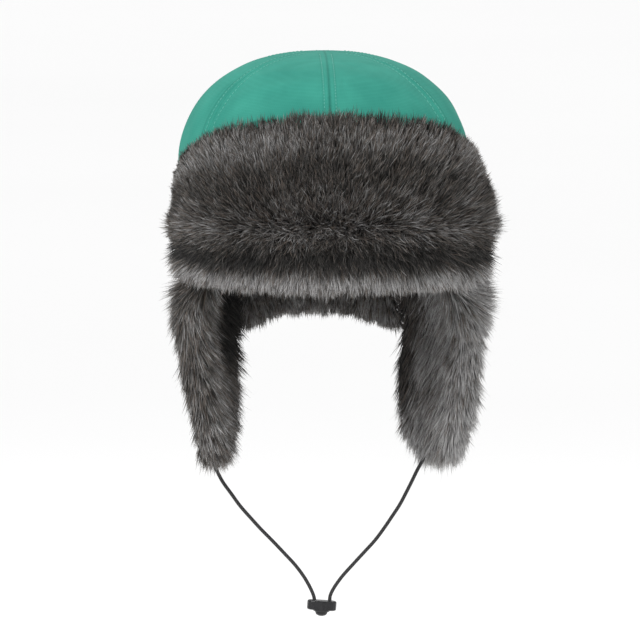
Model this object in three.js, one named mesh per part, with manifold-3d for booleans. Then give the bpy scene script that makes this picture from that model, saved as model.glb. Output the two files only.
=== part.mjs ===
// A winter hat with fur-lined ear flaps: a padded cap of six cloth panels, a fur-faced visor folded up
// in front, two ear flaps and a neck flap with fur inside, and an elastic chin cord with a cord lock.
// Millimetres. +Z is up, the front of the hat faces -Y, and the origin is the middle of the head
// opening, in the plane of the rim.
import * as THREE from "three";
import { mergeVertices } from "three/addons/utils/BufferGeometryUtils.js";
import Module from "manifold-3d";

// Crown: overall sizes are outside ones.
const CROWN_WIDTH = 203;
const CROWN_DEPTH = 240;
const CROWN_HEIGHT = 152;
const CROWN_WALL = 5;
const SHOULDER_HEIGHT = 60;
const RIM_TUCK = 7;
const DOME_POWER = 2.4;
const PANEL_COUNT = 6;
const PANEL_BULGE = 1.6;

// Gap between cloth pieces sewn to each other, and between a cloth piece and its fur.
const SEAM_GAP = 0.5;
const FUR_GAP = 0.4;

// Degrees between the stations of a piece that follows the rim, so that neighbours stay parallel.
const PLAN_STEP = 7.5;

// Visor
const VISOR_HEIGHT = 106;
const VISOR_HALF_ANGLE = 75;
const VISOR_THICKNESS = 3.5;
const VISOR_FLARE = 3;
const VISOR_PILE = 23;
const VISOR_TOP_PILE = 9;
const VISOR_BOTTOM_PILE = 0.5;
const VISOR_END_RISE = 8;
const VISOR_LIP = 2;

// Ear flaps
const EAR_LENGTH = 124;
const EAR_THICKNESS = 3;
const EAR_FLARE = 7;
const EAR_CURL = 0.9;
const EAR_PILE = 27;
const EAR_EDGE_PILE = 8;
const EAR_TIP_PILE = 10;
const EAR_PROUD = 6;

// Neck flap
const NECK_LENGTH = 40;
const NECK_HALF_ANGLE = 36;
const NECK_THICKNESS = 3;
const NECK_PILE = 21;
const NECK_BOTTOM_PILE = 9;
const NECK_EDGE_PILE = 4.25;

// Chin cord and cord lock
const CORD_DIAMETER = 2.5;
const CORD_SIDES = 8;
const CORD_STEPS = 66;
const CORD_GAP = 0.3;
const FUR_CHANNEL_GAP = 0.8;
const LOCK_WIDTH = 20.6;
const LOCK_THICKNESS = 9.6;
const WING_HEIGHT = 6.9;
const LOCK_BARREL_WALL = 0.9;
const LOCK_BARREL_HEIGHT = 7.9;
const LOCK_ROOF = 1.2;
const LOCK_CORNER = 1.1;
const LOCK_CHAMFER = 0.5;
const LOCK_SIDES = 20;
const BUTTON_DIAMETER = 9.2;
const BUTTON_LENGTH = 8.1;
const BUTTON_REACH = 11.2;
const BUTTON_DOME = 3.1;
const BUTTON_CLEARANCE = 0.3;
const BUTTON_STROKE = 1.8;
const BRIDGE_WIDTH = 2.6;
const BRIDGE_CLEARANCE = 1.15;
const CORD_TURN_DEPTH = 6.4;
const FORK_CLEARANCE = 0.4;
const LOCK_TILT = 4;

// Each table is read between its rows along a smooth curve.
// Visor, from its left end (-1) to its right end (+1): its top edge and its pile, as shares.
const VISOR_ROWS = [
  { at: -1.0, top: 0.66, pile: 0.24 },
  { at: -0.92, top: 0.74, pile: 0.34 },
  { at: -0.8, top: 0.8, pile: 0.5 },
  { at: -0.5, top: 0.91, pile: 0.9 },
  { at: 0.0, top: 1.0, pile: 1.0 },
  { at: 0.5, top: 0.93, pile: 1.0 },
  { at: 0.8, top: 0.82, pile: 0.9 },
  { at: 0.92, top: 0.75, pile: 0.8 },
  { at: 1.0, top: 0.66, pile: 0.6 },
];

// The visor's fur in section, from its bottom edge round the front to the back of its top edge:
// out is a share of the pile, up a share of the visor's height there.
const VISOR_FUR_FRONT = [
  { out: 0.1, up: 0.0 },
  { out: 0.5, up: 0.0 },
  { out: 0.8, up: 0.09 },
  { out: 0.97, up: 0.25 },
  { out: 1.0, up: 0.42 },
  { out: 0.95, up: 0.6 },
  { out: 0.82, up: 0.77 },
  { out: 0.6, up: 0.91 },
  { out: 0.32, up: 0.98 },
  { out: 0.1, up: 1.0 },
];

// Ear flap, from the rim (0) to its tip (1): its front and rear edges in degrees round the rim from
// the front of the hat, and shares of its flare, its lean and its pile.
const EAR_ROWS = [
  { down: 0.0, front: 68, rear: 136, flare: 0.0, lean: 0.0, pile: 0.7 },
  { down: 0.1, front: 69, rear: 136, flare: 0.55, lean: 0.02, pile: 0.85 },
  { down: 0.25, front: 71, rear: 134.5, flare: 1.0, lean: 0.1, pile: 1.0 },
  { down: 0.5, front: 74, rear: 131, flare: 1.0, lean: 0.4, pile: 1.0 },
  { down: 0.72, front: 78, rear: 127, flare: 0.85, lean: 0.7, pile: 0.9 },
  { down: 0.88, front: 82, rear: 122, flare: 0.7, lean: 0.88, pile: 0.76 },
  { down: 0.96, front: 87, rear: 116, flare: 0.6, lean: 0.97, pile: 0.62 },
  { down: 1.0, front: 94, rear: 109, flare: 0.6, lean: 1.0, pile: 0.45 },
];

// How far each flap's tip leans in towards the other one, below the front and rear ends of its seam.
const EAR_SIDES = [
  { name: "left", side: -1, leanFront: 18, leanRear: 10 },
  { name: "right", side: 1, leanFront: 3, leanRear: 19 },
];

// Neck flap, from its middle (0) to either end (1): its length as a share.
const NECK_ROWS = [
  { at: 0.0, length: 0.7 },
  { at: 0.4, length: 0.74 },
  { at: 0.8, length: 0.92 },
  { at: 1.0, length: 1.0 },
];

// Soft dents in the crown: where round it, how far up it, how wide and how deep.
const CROWN_DENTS = [
  { around: -38, up: 0.9, spread: 22, rise: 0.09, depth: 2.4 },
  { around: 20, up: 0.8, spread: 9, rise: 0.12, depth: 1.8 },
  { around: 62, up: 0.86, spread: 16, rise: 0.1, depth: 2.0 },
  { around: 150, up: 0.75, spread: 18, rise: 0.16, depth: 2.6 },
  { around: 215, up: 0.8, spread: 20, rise: 0.12, depth: 2.2 },
];

// The cord's route, chosen by hand: down from the left flap, round inside the lock, up to the right flap.
const CORD_Y = 22;
const CORD_ROUTE = [
  [-82.3, -124.6],
  [-80.6, -131],
  [-77.6, -137.8],
  [-74.7, -143.9],
  [-70.3, -152.3],
  [-64.3, -160.7],
  [-58.2, -169.2],
  [-50.9, -177.6],
  [-43.3, -186.0],
  [-35.0, -194.5],
  [-27.1, -202.9],
  [-19.4, -211.3],
  [-13.1, -219.8],
  [-8.4, -228.2],
  [-6.2, -233.6],
  [-5.57, -237.0],
  [-4.36, -241.0],
  [-0.8, -242.8],
  [2.98, -241.5],
  [4.8, -237.7],
  [5.3, -233.4],
  [7.8, -228.0],
  [13.6, -219.8],
  [21.2, -211.3],
  [28.9, -202.9],
  [36.6, -194.5],
  [43.0, -186.0],
  [48.7, -177.6],
  [54.2, -169.2],
  [58.7, -160.7],
  [62.9, -152.3],
  [67.0, -143.9],
  [71.2, -136.8],
  [76.6, -130.6],
  [83.0, -124.6],
];
const LOCK_X = -0.35;
const LOCK_TOP = -236.4;

const wasm = await Module();
wasm.setup();

const nylon = () => new THREE.MeshStandardMaterial({ color: 0x4ba190, roughness: 0.62, metalness: 0 });
const fur = () => new THREE.MeshStandardMaterial({ color: 0x4b4644, roughness: 0.9, metalness: 0 });
const elastic = () => new THREE.MeshStandardMaterial({ color: 0x2c2c2d, roughness: 0.85, metalness: 0 });
const plastic = () => new THREE.MeshStandardMaterial({ color: 0x1b1b1c, roughness: 0.42, metalness: 0 });

// A closed three.js geometry as a solid.
function solidOf(geometry) {
  const bare = geometry.clone();
  bare.deleteAttribute("normal");
  bare.deleteAttribute("uv");
  const merged = mergeVertices(bare, 1e-4);
  const triVerts = new Uint32Array(merged.index.array);
  const vertProperties = new Float32Array(merged.attributes.position.array);
  return new wasm.Manifold(new wasm.Mesh({ numProp: 3, vertProperties, triVerts }));
}

// A solid as a named mesh.
function meshOf(name, solid, material) {
  const { vertProperties, triVerts } = solid.getMesh();
  const geometry = new THREE.BufferGeometry();
  geometry.setAttribute("position", new THREE.BufferAttribute(new Float32Array(vertProperties), 3));
  geometry.setIndex(new THREE.BufferAttribute(new Uint32Array(triVerts), 1));
  geometry.computeVertexNormals();
  const mesh = new THREE.Mesh(geometry, material);
  mesh.name = name;
  return mesh;
}

// A solid through closed loops of equal count. Point i of a loop faces point count-1-i across it,
// so each end is closed by a ladder of triangles, which also suits a thin crescent.
function loft(loops) {
  const count = loops[0].length;
  const triangles = [];
  for (let ring = 0; ring + 1 < loops.length; ring++)
    for (let i = 0; i < count; i++) {
      const a = ring * count + i;
      const b = ring * count + ((i + 1) % count);
      triangles.push(a, b, b + count, a, b + count, a + count);
    }
  const last = (loops.length - 1) * count;
  for (let i = 0; i + 1 < count / 2; i++) {
    const j = count - 1 - i;
    triangles.push(i, j, j - 1, i, j - 1, i + 1);
    triangles.push(last + i, last + j - 1, last + j, last + i, last + i + 1, last + j - 1);
  }
  const geometry = new THREE.BufferGeometry();
  const flat = loops.flat().flatMap((p) => [p.x, p.y, p.z]);
  geometry.setAttribute("position", new THREE.Float32BufferAttribute(flat, 3));
  geometry.setIndex(triangles);
  if (signedVolume(geometry) < 0) for (let i = 0; i < triangles.length; i += 3) swap(triangles, i + 1, i + 2);
  geometry.setIndex(triangles);
  return solidOf(geometry);
}

function swap(list, i, j) {
  [list[i], list[j]] = [list[j], list[i]];
}

function signedVolume(geometry) {
  const at = (k) => new THREE.Vector3().fromBufferAttribute(geometry.attributes.position, geometry.index.getX(k));
  let sum = 0;
  for (let k = 0; k < geometry.index.count; k += 3) sum += at(k).dot(at(k + 1).cross(at(k + 2)));
  return sum / 6;
}

// A column of a table at a place between its rows, along a monotone cubic curve.
function read(rows, key, column, place) {
  const first = rows[0];
  const end = rows[rows.length - 1];
  if (place <= first[key]) return first[column];
  if (place >= end[key]) return end[column];
  const i = rows.findIndex((row) => row[key] > place) - 1;
  const slope = (k) =>
    k < 0 || k + 1 >= rows.length ? 0 : (rows[k + 1][column] - rows[k][column]) / (rows[k + 1][key] - rows[k][key]);
  const tangent = (k) => {
    if (k === 0) return slope(0);
    if (k === rows.length - 1) return slope(k - 1);
    const before = slope(k - 1);
    const after = slope(k);
    return before * after <= 0 ? 0 : (2 * before * after) / (before + after);
  };
  const width = rows[i + 1][key] - rows[i][key];
  const t = (place - rows[i][key]) / width;
  const p = rows[i][column];
  const q = rows[i + 1][column];
  return (
    p * (1 + 2 * t) * (1 - t) ** 2 +
    tangent(i) * width * t * (1 - t) ** 2 +
    q * t * t * (3 - 2 * t) +
    tangent(i + 1) * width * t * t * (t - 1)
  );
}

// A point on an ellipse of the plan, at an angle from the front of the hat towards +X.
function onPlan(halfWidth, halfDepth, degrees, z) {
  const turn = THREE.MathUtils.degToRad(degrees);
  return new THREE.Vector3(halfWidth * Math.sin(turn), -halfDepth * Math.cos(turn), z);
}

const steps = (count) => Array.from({ length: count + 1 }, (_, i) => i / count);

// Crown

// Half width and half depth of the crown at a height, inset by a wall.
function crownHalves(z, wall) {
  const halfWidth = CROWN_WIDTH / 2 - wall;
  const halfDepth = CROWN_DEPTH / 2 - wall;
  if (z <= SHOULDER_HEIGHT) {
    const tuck = RIM_TUCK * (1 - Math.max(z, 0) / SHOULDER_HEIGHT) ** 2;
    return [halfWidth - tuck, halfDepth - tuck];
  }
  const up = (z - SHOULDER_HEIGHT) / (CROWN_HEIGHT - wall - SHOULDER_HEIGHT);
  const shrink = (1 - Math.min(up, 1) ** DOME_POWER) ** (1 / DOME_POWER);
  return [halfWidth * shrink, halfDepth * shrink];
}

// How far the cloth stands out between its seams, or sinks in at a dent.
function crownRelief(degrees, z) {
  const up = z / CROWN_HEIGHT;
  const above = THREE.MathUtils.clamp((z - SHOULDER_HEIGHT) / (CROWN_HEIGHT - SHOULDER_HEIGHT), 0, 1);
  const panel = Math.abs(Math.sin(THREE.MathUtils.degToRad((degrees * PANEL_COUNT) / 2)));
  const dents = CROWN_DENTS.map((dent) => {
    const round = (THREE.MathUtils.euclideanModulo(degrees - dent.around + 180, 360) - 180) / dent.spread;
    return dent.depth * Math.exp(-(round ** 2) - ((up - dent.up) / dent.rise) ** 2);
  });
  return PANEL_BULGE * panel * Math.sin(Math.PI * above) - dents.reduce((sum, dent) => sum + dent, 0);
}

function crownRing(z, wall, segments) {
  const [halfWidth, halfDepth] = crownHalves(z, wall);
  const nearTop = Math.min(1, halfWidth / (CROWN_WIDTH / 4));
  return steps(segments)
    .slice(0, -1)
    .map((share) => {
      const degrees = 360 * share;
      const relief = crownRelief(degrees, z) * nearTop;
      return onPlan(halfWidth + relief, halfDepth + relief, degrees, z);
    });
}

function makeCrown() {
  const segments = Math.round(360 / PLAN_STEP);
  const domeRings = 9;
  const sideRings = 3;
  const flatTopFrom = THREE.MathUtils.degToRad(88);
  const heights = (wall) => [
    ...steps(sideRings).map((share) => SHOULDER_HEIGHT * share),
    ...steps(domeRings)
      .slice(1)
      .map((share) => {
        const rise = Math.sin(share * flatTopFrom) ** (2 / DOME_POWER);
        return SHOULDER_HEIGHT + (CROWN_HEIGHT - wall - SHOULDER_HEIGHT) * rise;
      }),
  ];
  const outer = heights(0).map((z) => crownRing(z, 0, segments));
  const inner = heights(CROWN_WALL).map((z) => crownRing(z, CROWN_WALL, segments));
  return loft([...inner.reverse(), ...outer]);
}

// Visor

// Half width and half depth of the visor's inner face at a height, moved out by a distance.
function visorHalves(z, out) {
  const [halfWidth, halfDepth] = crownHalves(Math.min(z, SHOULDER_HEIGHT), 0);
  const flare = VISOR_FLARE * Math.max(0, (z - SHOULDER_HEIGHT) / (VISOR_HEIGHT - SHOULDER_HEIGHT));
  const off = SEAM_GAP + flare + out;
  return [halfWidth + off, halfDepth + off];
}

const visorPoint = (degrees, z, out) => onPlan(...visorHalves(z, out), degrees, z);

const VISOR_LEVELS = 5;
const visorTop = (degrees) => VISOR_HEIGHT * read(VISOR_ROWS, "at", "top", degrees / VISOR_HALF_ANGLE);

// The stations of a piece that reaches equally far round both sides of the front.
function stations(halfAngle) {
  const count = Math.max(1, Math.round(halfAngle / PLAN_STEP));
  return steps(2 * count).map((share) => (2 * share - 1) * halfAngle);
}

function makeVisorShell() {
  const loops = stations(VISOR_HALF_ANGLE).map((degrees) => {
    const heights = steps(VISOR_LEVELS).map((rise) => visorTop(degrees) * rise);
    const outside = heights.map((z) => visorPoint(degrees, z, VISOR_THICKNESS));
    const inside = heights.map((z) => visorPoint(degrees, z, 0));
    return [...outside, ...inside.reverse()];
  });
  return loft(loops);
}

// The fur's back lies on the shell's front face and turns over its top edge. Past the shell's ends it
// gets thinner and lower.
function makeVisorFur() {
  const endThinning = 0.55;
  const endLowering = 0.12;
  const lipFront = VISOR_THICKNESS / 2;
  const lipBack = FUR_GAP;
  const loops = stations(VISOR_HALF_ANGLE + PLAN_STEP).map((degrees) => {
    const beyond = Math.max(0, (Math.abs(degrees) - VISOR_HALF_ANGLE) / PLAN_STEP);
    const close = 1 - endThinning * beyond ** 2;
    const shellTop = visorTop(degrees);
    const pile = VISOR_PILE * read(VISOR_ROWS, "at", "pile", degrees / VISOR_HALF_ANGLE) * close;
    const top = (shellTop + VISOR_TOP_PILE) * (1 - endLowering * beyond ** 2);
    const bottom = -VISOR_BOTTOM_PILE + VISOR_END_RISE * beyond ** 2;
    const face = VISOR_THICKNESS + FUR_GAP;
    const front = VISOR_FUR_FRONT.map(({ out, up }) =>
      visorPoint(degrees, bottom + (top - bottom) * up, face + pile * out),
    );
    const lip = Math.min(shellTop + FUR_GAP, top - VISOR_LIP);
    const levels = [bottom, ...steps(VISOR_LEVELS).slice(1, -1).map((rise) => shellTop * rise), lip];
    const back = levels.map((z) => visorPoint(degrees, z, face));
    const overTop = [
      visorPoint(degrees, lip, lipFront),
      visorPoint(degrees, lip, lipBack),
      visorPoint(degrees, top - VISOR_LIP, lipBack),
      visorPoint(degrees, top, lipFront),
    ];
    return [...front, ...[...back, ...overTop].reverse()];
  });
  return loft(loops);
}

// Ear flaps

// A point of an ear flap: down its length, across it from front (0) to rear (1), and out from its
// outer face. Past is how far an edge is widened, in degrees.
function earPoint(wing, down, across, out, past, z) {
  const shares = (column) => read(EAR_ROWS, "down", column, down);
  const front = shares("front") - past;
  const rear = shares("rear") + past;
  const degrees = front + (rear - front) * across;
  const [halfWidth, halfDepth] = crownHalves(0, 0);
  const [rimRow] = EAR_ROWS;
  const back = (degrees - rimRow.front) / (rimRow.rear - rimRow.front);
  const flare = EAR_FLARE * shares("flare") * (1 + EAR_CURL * Math.max(0, 1 - back) ** 2);
  const lean = shares("lean") * (wing.leanFront + (wing.leanRear - wing.leanFront) * back);
  const point = onPlan(halfWidth + flare + out, halfDepth + flare + out, degrees, z);
  return new THREE.Vector3(wing.side * (point.x - lean), point.y, point.z);
}

const EAR_LEVELS = [0, 0.1, 0.25, 0.42, 0.58, 0.72, 0.82, 0.9, 0.96, 1];

// A slab that follows the flap between two faces. Both faces take the place across the flap.
function earSlab(wing, length, past, outerFace, innerFace, top) {
  const loops = EAR_LEVELS.map((down) => {
    const z = top - (top + length) * down;
    const across = steps(10);
    const outside = across.map((s) => earPoint(wing, down, s, outerFace(s, down), past, z));
    const inside = across.map((s) => earPoint(wing, down, s, innerFace(s, down), past, z));
    return [...outside, ...inside.reverse()];
  });
  return loft(loops);
}

function makeEarShell(wing) {
  return earSlab(
    wing,
    EAR_LENGTH,
    0,
    () => 0,
    () => -EAR_THICKNESS,
    -SEAM_GAP,
  );
}

// The room that the shell and its gap take out of the fur, open on the outer side and at the top.
function earRoom(wing) {
  const clearOfFur = 2 * EAR_PROUD;
  const edge = THREE.MathUtils.radToDeg(FUR_GAP / (CROWN_WIDTH / 2));
  return earSlab(
    wing,
    EAR_LENGTH + FUR_GAP,
    edge,
    () => clearOfFur,
    () => -EAR_THICKNESS - FUR_GAP,
    -SEAM_GAP + FUR_GAP,
  );
}

function makeEarFur(wing) {
  const past = THREE.MathUtils.radToDeg(EAR_EDGE_PILE / (CROWN_WIDTH / 2));
  const edgeThickness = 0.25;
  const edgeProud = 0.3;
  const tipProud = 0.1;
  const fade = 4;
  const round = (s) => (1 - Math.abs(2 * s - 1) ** 3) ** 0.5;
  const thick = (s, down) =>
    EAR_PILE * read(EAR_ROWS, "down", "pile", down) * (edgeThickness + (1 - edgeThickness) * round(s));
  const proud = (s, down) => {
    const across = Math.min(1, edgeProud + fade * Math.min(s, 1 - s));
    return EAR_PROUD * across * Math.min(1, fade * down) * (1 - (1 - tipProud) * down ** 3);
  };
  const body = earSlab(
    wing,
    EAR_LENGTH + EAR_TIP_PILE,
    past,
    proud,
    (s, down) => -EAR_THICKNESS - FUR_GAP - thick(s, down),
    -SEAM_GAP,
  );
  return body.subtract(earRoom(wing)).subtract(cordTube(CORD_DIAMETER + 2 * FUR_CHANNEL_GAP, 1));
}

// Neck flap

function neckSlab(past, drop, outerFace, innerFace) {
  const [halfWidth, halfDepth] = crownHalves(0, 0);
  const loops = steps(12).map((share) => {
    const at = 2 * share - 1;
    const degrees = 180 + at * (NECK_HALF_ANGLE + past);
    const bottom = -NECK_LENGTH * read(NECK_ROWS, "at", "length", Math.abs(at)) - drop;
    const levels = steps(5).map((fall) => ({ fall, z: -SEAM_GAP + (bottom + SEAM_GAP) * fall }));
    const place = (out, z) => onPlan(halfWidth + out, halfDepth + out, degrees, z);
    const outside = levels.map(({ fall, z }) => place(outerFace(fall, at), z));
    const inside = levels.map(({ fall, z }) => place(innerFace(fall, at), z));
    return [...outside, ...inside.reverse()];
  });
  return loft(loops);
}

function makeNeckShell() {
  return neckSlab(
    0,
    0,
    () => 0,
    () => -NECK_THICKNESS,
  );
}

function makeNeckFur() {
  const past = THREE.MathUtils.radToDeg(NECK_EDGE_PILE / (CROWN_WIDTH / 2));
  const edgeThickness = 0.2;
  const endThinning = 0.4;
  const round = (fall, at) => (1 - fall ** 3) ** 0.5 * (1 - endThinning * Math.abs(at) ** 4);
  const thick = (fall, at) => NECK_PILE * (edgeThickness + (1 - edgeThickness) * round(fall, at));
  const body = neckSlab(
    past,
    NECK_BOTTOM_PILE,
    () => FUR_GAP,
    (fall, at) => -NECK_THICKNESS - FUR_GAP - thick(fall, at),
  );
  const edge = THREE.MathUtils.radToDeg(FUR_GAP / (CROWN_WIDTH / 2));
  const room = neckSlab(
    edge,
    FUR_GAP,
    () => NECK_PILE,
    () => -NECK_THICKNESS - FUR_GAP,
  );
  return body.subtract(room).subtract(room.translate([0, 0, 2 * SEAM_GAP]));
}

// Chin cord and cord lock

// A tube along the cord's route. Past is how far both ends are carried on, straight up.
function cordTube(diameter, past = 0) {
  const route = CORD_ROUTE.map(([x, z]) => new THREE.Vector3(x, CORD_Y, z));
  route[0].z += past;
  route[route.length - 1].z += past;
  const path = new THREE.CatmullRomCurve3(route, false, "centripetal");
  const section = new THREE.Shape(
    steps(CORD_SIDES)
      .slice(0, -1)
      .map((share) => new THREE.Vector2(Math.cos(2 * Math.PI * share), Math.sin(2 * Math.PI * share)))
      .map((point) => point.multiplyScalar(diameter / 2)),
  );
  return solidOf(new THREE.ExtrudeGeometry(section, { steps: CORD_STEPS, extrudePath: path, bevelEnabled: false }));
}

// The lock is made about its own top middle, then tilted and carried to the cord.
const lockPlace = new THREE.Matrix4().compose(
  new THREE.Vector3(LOCK_X, CORD_Y, LOCK_TOP),
  new THREE.Quaternion().setFromAxisAngle(new THREE.Vector3(0, 1, 0), THREE.MathUtils.degToRad(LOCK_TILT)),
  new THREE.Vector3(1, 1, 1),
);

const atLock = (geometry) => solidOf(geometry.applyMatrix4(lockPlace));

function lathe(profile) {
  const points = profile.map(([radius, height]) => new THREE.Vector2(radius, height));
  return new THREE.LatheGeometry(points, LOCK_SIDES).rotateX(Math.PI / 2);
}

function makeLockBody() {
  const half = LOCK_WIDTH / 2 - LOCK_THICKNESS / 2;
  const bevel = 0.3 * LOCK_CORNER;
  const levels = [
    { down: 0, inset: LOCK_CORNER },
    { down: bevel, inset: bevel },
    { down: LOCK_CORNER, inset: 0 },
    { down: WING_HEIGHT - LOCK_CORNER, inset: 0 },
    { down: WING_HEIGHT - bevel, inset: bevel },
    { down: WING_HEIGHT, inset: LOCK_CORNER },
  ];
  const wings = loft(
    levels.map(({ down, inset }) => {
      const radius = LOCK_THICKNESS / 2 - inset;
      const arc = (middle, from) =>
        steps(6).map((share) => {
          const turn = from + Math.PI * share;
          return new THREE.Vector3(middle + radius * Math.cos(turn), radius * Math.sin(turn), -down);
        });
      return [...arc(half, -Math.PI / 2), ...arc(-half, Math.PI / 2)].map((p) => p.applyMatrix4(lockPlace));
    }),
  );
  const boreRadius = BUTTON_DIAMETER / 2 + BUTTON_CLEARANCE;
  const barrelRadius = boreRadius + LOCK_BARREL_WALL;
  const barrelTop = -bevel;
  const barrel = atLock(
    lathe([
      [0, -LOCK_BARREL_HEIGHT],
      [barrelRadius - LOCK_CHAMFER, -LOCK_BARREL_HEIGHT],
      [barrelRadius, -LOCK_BARREL_HEIGHT + LOCK_CHAMFER],
      [barrelRadius, barrelTop - LOCK_CHAMFER],
      [barrelRadius - LOCK_CHAMFER, barrelTop],
      [0, barrelTop],
    ]),
  );
  const below = -LOCK_BARREL_HEIGHT - LOCK_CORNER;
  const bore = atLock(
    lathe([
      [0, below],
      [boreRadius, below],
      [boreRadius, -LOCK_ROOF],
      [0, -LOCK_ROOF],
    ]),
  );
  return wings.add(barrel).subtract(bore).subtract(cordTube(CORD_DIAMETER + 2 * CORD_GAP));
}

// A domed plunger. Its fork straddles the cord, and the bridge across the fork holds the cord down.
function makeLockButton() {
  const radius = BUTTON_DIAMETER / 2;
  const top = -BUTTON_REACH + BUTTON_LENGTH;
  const edge = steps(6).map((share) => {
    const turn = (Math.PI / 2) * share;
    return [radius * Math.sin(turn), -BUTTON_REACH + BUTTON_DOME * (1 - Math.cos(turn))];
  });
  const plunger = atLock(lathe([...edge, [radius, top], [0, top]]));
  const slotWidth = CORD_DIAMETER + 2 * FORK_CLEARANCE;
  const slotFloor = -CORD_TURN_DEPTH - CORD_DIAMETER / 2 - CORD_GAP - BUTTON_STROKE;
  const bridgeFoot = -CORD_TURN_DEPTH + CORD_DIAMETER / 2 + BRIDGE_CLEARANCE;
  const slotTop = top + LOCK_ROOF;
  const slot = new THREE.BoxGeometry(3 * radius, slotWidth, slotTop - slotFloor);
  slot.translate(0, 0, (slotTop + slotFloor) / 2);
  const bridge = new THREE.BoxGeometry(BRIDGE_WIDTH, slotWidth + FORK_CLEARANCE, top - bridgeFoot);
  bridge.translate(0, 0, (top + bridgeFoot) / 2);
  return plunger.subtract(atLock(slot)).add(atLock(bridge));
}

const hat = new THREE.Group();
hat.add(meshOf("crown", makeCrown(), nylon()));
hat.add(meshOf("visor_shell", makeVisorShell(), nylon()));
hat.add(meshOf("visor_fur", makeVisorFur(), fur()));
for (const wing of EAR_SIDES) {
  hat.add(meshOf(`ear_flap_${wing.name}`, makeEarShell(wing), nylon()));
  hat.add(meshOf(`ear_fur_${wing.name}`, makeEarFur(wing), fur()));
}
hat.add(meshOf("neck_flap", makeNeckShell(), nylon()));
hat.add(meshOf("neck_fur", makeNeckFur(), fur()));
hat.add(meshOf("chin_cord", cordTube(CORD_DIAMETER), elastic()));
hat.add(meshOf("cord_lock_body", makeLockBody(), plastic()));
hat.add(meshOf("cord_lock_button", makeLockButton(), plastic()));

export default hat;
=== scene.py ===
# A winter hat with fur-lined ear flaps: a teal nylon crown of six padded panels, a fur-faced visor folded
# up in front, two ear flaps and a neck flap with fur inside, and an elastic chin cord with a cord lock.
# Lengths are in millimetres until mesh_of turns them into metres. The front faces -Y.
import math

import bmesh
import bpy
import numpy as np
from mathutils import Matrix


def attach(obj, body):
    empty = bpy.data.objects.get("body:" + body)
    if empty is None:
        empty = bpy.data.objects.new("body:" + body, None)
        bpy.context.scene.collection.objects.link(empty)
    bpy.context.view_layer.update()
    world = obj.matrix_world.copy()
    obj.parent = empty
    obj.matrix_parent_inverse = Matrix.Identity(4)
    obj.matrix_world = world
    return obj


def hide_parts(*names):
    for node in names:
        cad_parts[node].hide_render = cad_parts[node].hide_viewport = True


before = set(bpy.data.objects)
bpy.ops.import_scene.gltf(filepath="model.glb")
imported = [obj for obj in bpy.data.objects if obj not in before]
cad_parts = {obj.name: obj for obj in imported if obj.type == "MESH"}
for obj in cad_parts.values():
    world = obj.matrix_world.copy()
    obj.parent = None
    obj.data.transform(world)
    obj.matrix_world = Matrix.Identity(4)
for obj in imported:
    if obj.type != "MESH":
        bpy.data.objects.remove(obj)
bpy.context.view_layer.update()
MM = 0.001

# Camera and studio
# The camera stands far off at the photograph's angle. A pale painted floor runs back under an even, pale
# light, with a soft sun above the front left, a small lamp low in front and large ones at the right and
# behind.
CAMERA_AZIMUTH = math.radians(-2.5)
CAMERA_ELEVATION = math.radians(5)
CAMERA_DISTANCE = 8.0
FRAME_WIDTH = 0.448
AIM_RIGHT = -0.0028
AIM_UP = -0.0364
FLOOR_HEIGHT = -0.42

sin_a, cos_a = math.sin(CAMERA_AZIMUTH), math.cos(CAMERA_AZIMUTH)
sin_e, cos_e = math.sin(CAMERA_ELEVATION), math.cos(CAMERA_ELEVATION)
view_right = np.array([cos_a, sin_a, 0.0])
view_back = np.array([sin_a * cos_e, -cos_a * cos_e, sin_e])
view_up = np.cross(view_back, view_right)
camera = bpy.data.objects.new("camera", bpy.data.cameras.new("camera"))
bpy.context.scene.collection.objects.link(camera)
camera.location = view_right * AIM_RIGHT + view_up * AIM_UP + view_back * CAMERA_DISTANCE
camera.rotation_euler = (math.pi / 2 - CAMERA_ELEVATION, 0, CAMERA_AZIMUTH)
camera.data.sensor_width = 36
camera.data.lens = 36 * CAMERA_DISTANCE / FRAME_WIDTH
camera.data.clip_end = 100
bpy.context.scene.camera = camera
bpy.context.scene.view_settings.view_transform = "Standard"


def to_linear(hex_colour):
    """An sRGB hex colour as linear red, green, blue and alpha."""
    parts = [int(hex_colour[i : i + 2], 16) / 255 for i in (1, 3, 5)]
    return [p / 12.92 if p <= 0.04045 else ((p + 0.055) / 1.055) ** 2.4 for p in parts] + [1.0]


def add_node(tree, kind, inputs=None, stops=(), **settings):
    """Adds a node to a tree. Inputs go by name or number: each is a value, the socket that feeds it or the
    node whose first output does. A colour ramp's stops are pairs of a place and a colour."""
    made = tree.nodes.new(kind)
    for name, value in settings.items():
        setattr(made, name, value)
    for name, value in (inputs or {}).items():
        feed = value.outputs[0] if isinstance(value, bpy.types.Node) else value
        if isinstance(feed, bpy.types.NodeSocket):
            tree.links.new(feed, made.inputs[name])
        else:
            made.inputs[name].default_value = feed
    for k, (place, colour) in enumerate(stops):
        elements = made.color_ramp.elements
        element = elements[k] if k < 2 else elements.new(place)
        element.position = place
        element.color = to_linear(colour)
    return made


def new_material(name):
    """An empty material with its shader: the tree and the shader node."""
    made = bpy.data.materials.new(name)
    made.use_nodes = True
    made.node_tree.nodes.clear()
    shader = add_node(made.node_tree, "ShaderNodeBsdfPrincipled")
    add_node(made.node_tree, "ShaderNodeOutputMaterial", {"Surface": shader})
    return made, made.node_tree, shader


def mesh_of(name, points, faces, materials):
    """An object at the origin from points in millimetres, with smooth faces."""
    mesh = bpy.data.meshes.new(name)
    mesh.from_pydata((np.asarray(points) * MM).tolist(), [], faces, shade_flat=False)
    mesh.validate()
    for material in materials:
        mesh.materials.append(material)
    made = bpy.data.objects.new(name, mesh)
    bpy.context.scene.collection.objects.link(made)
    return made


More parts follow.
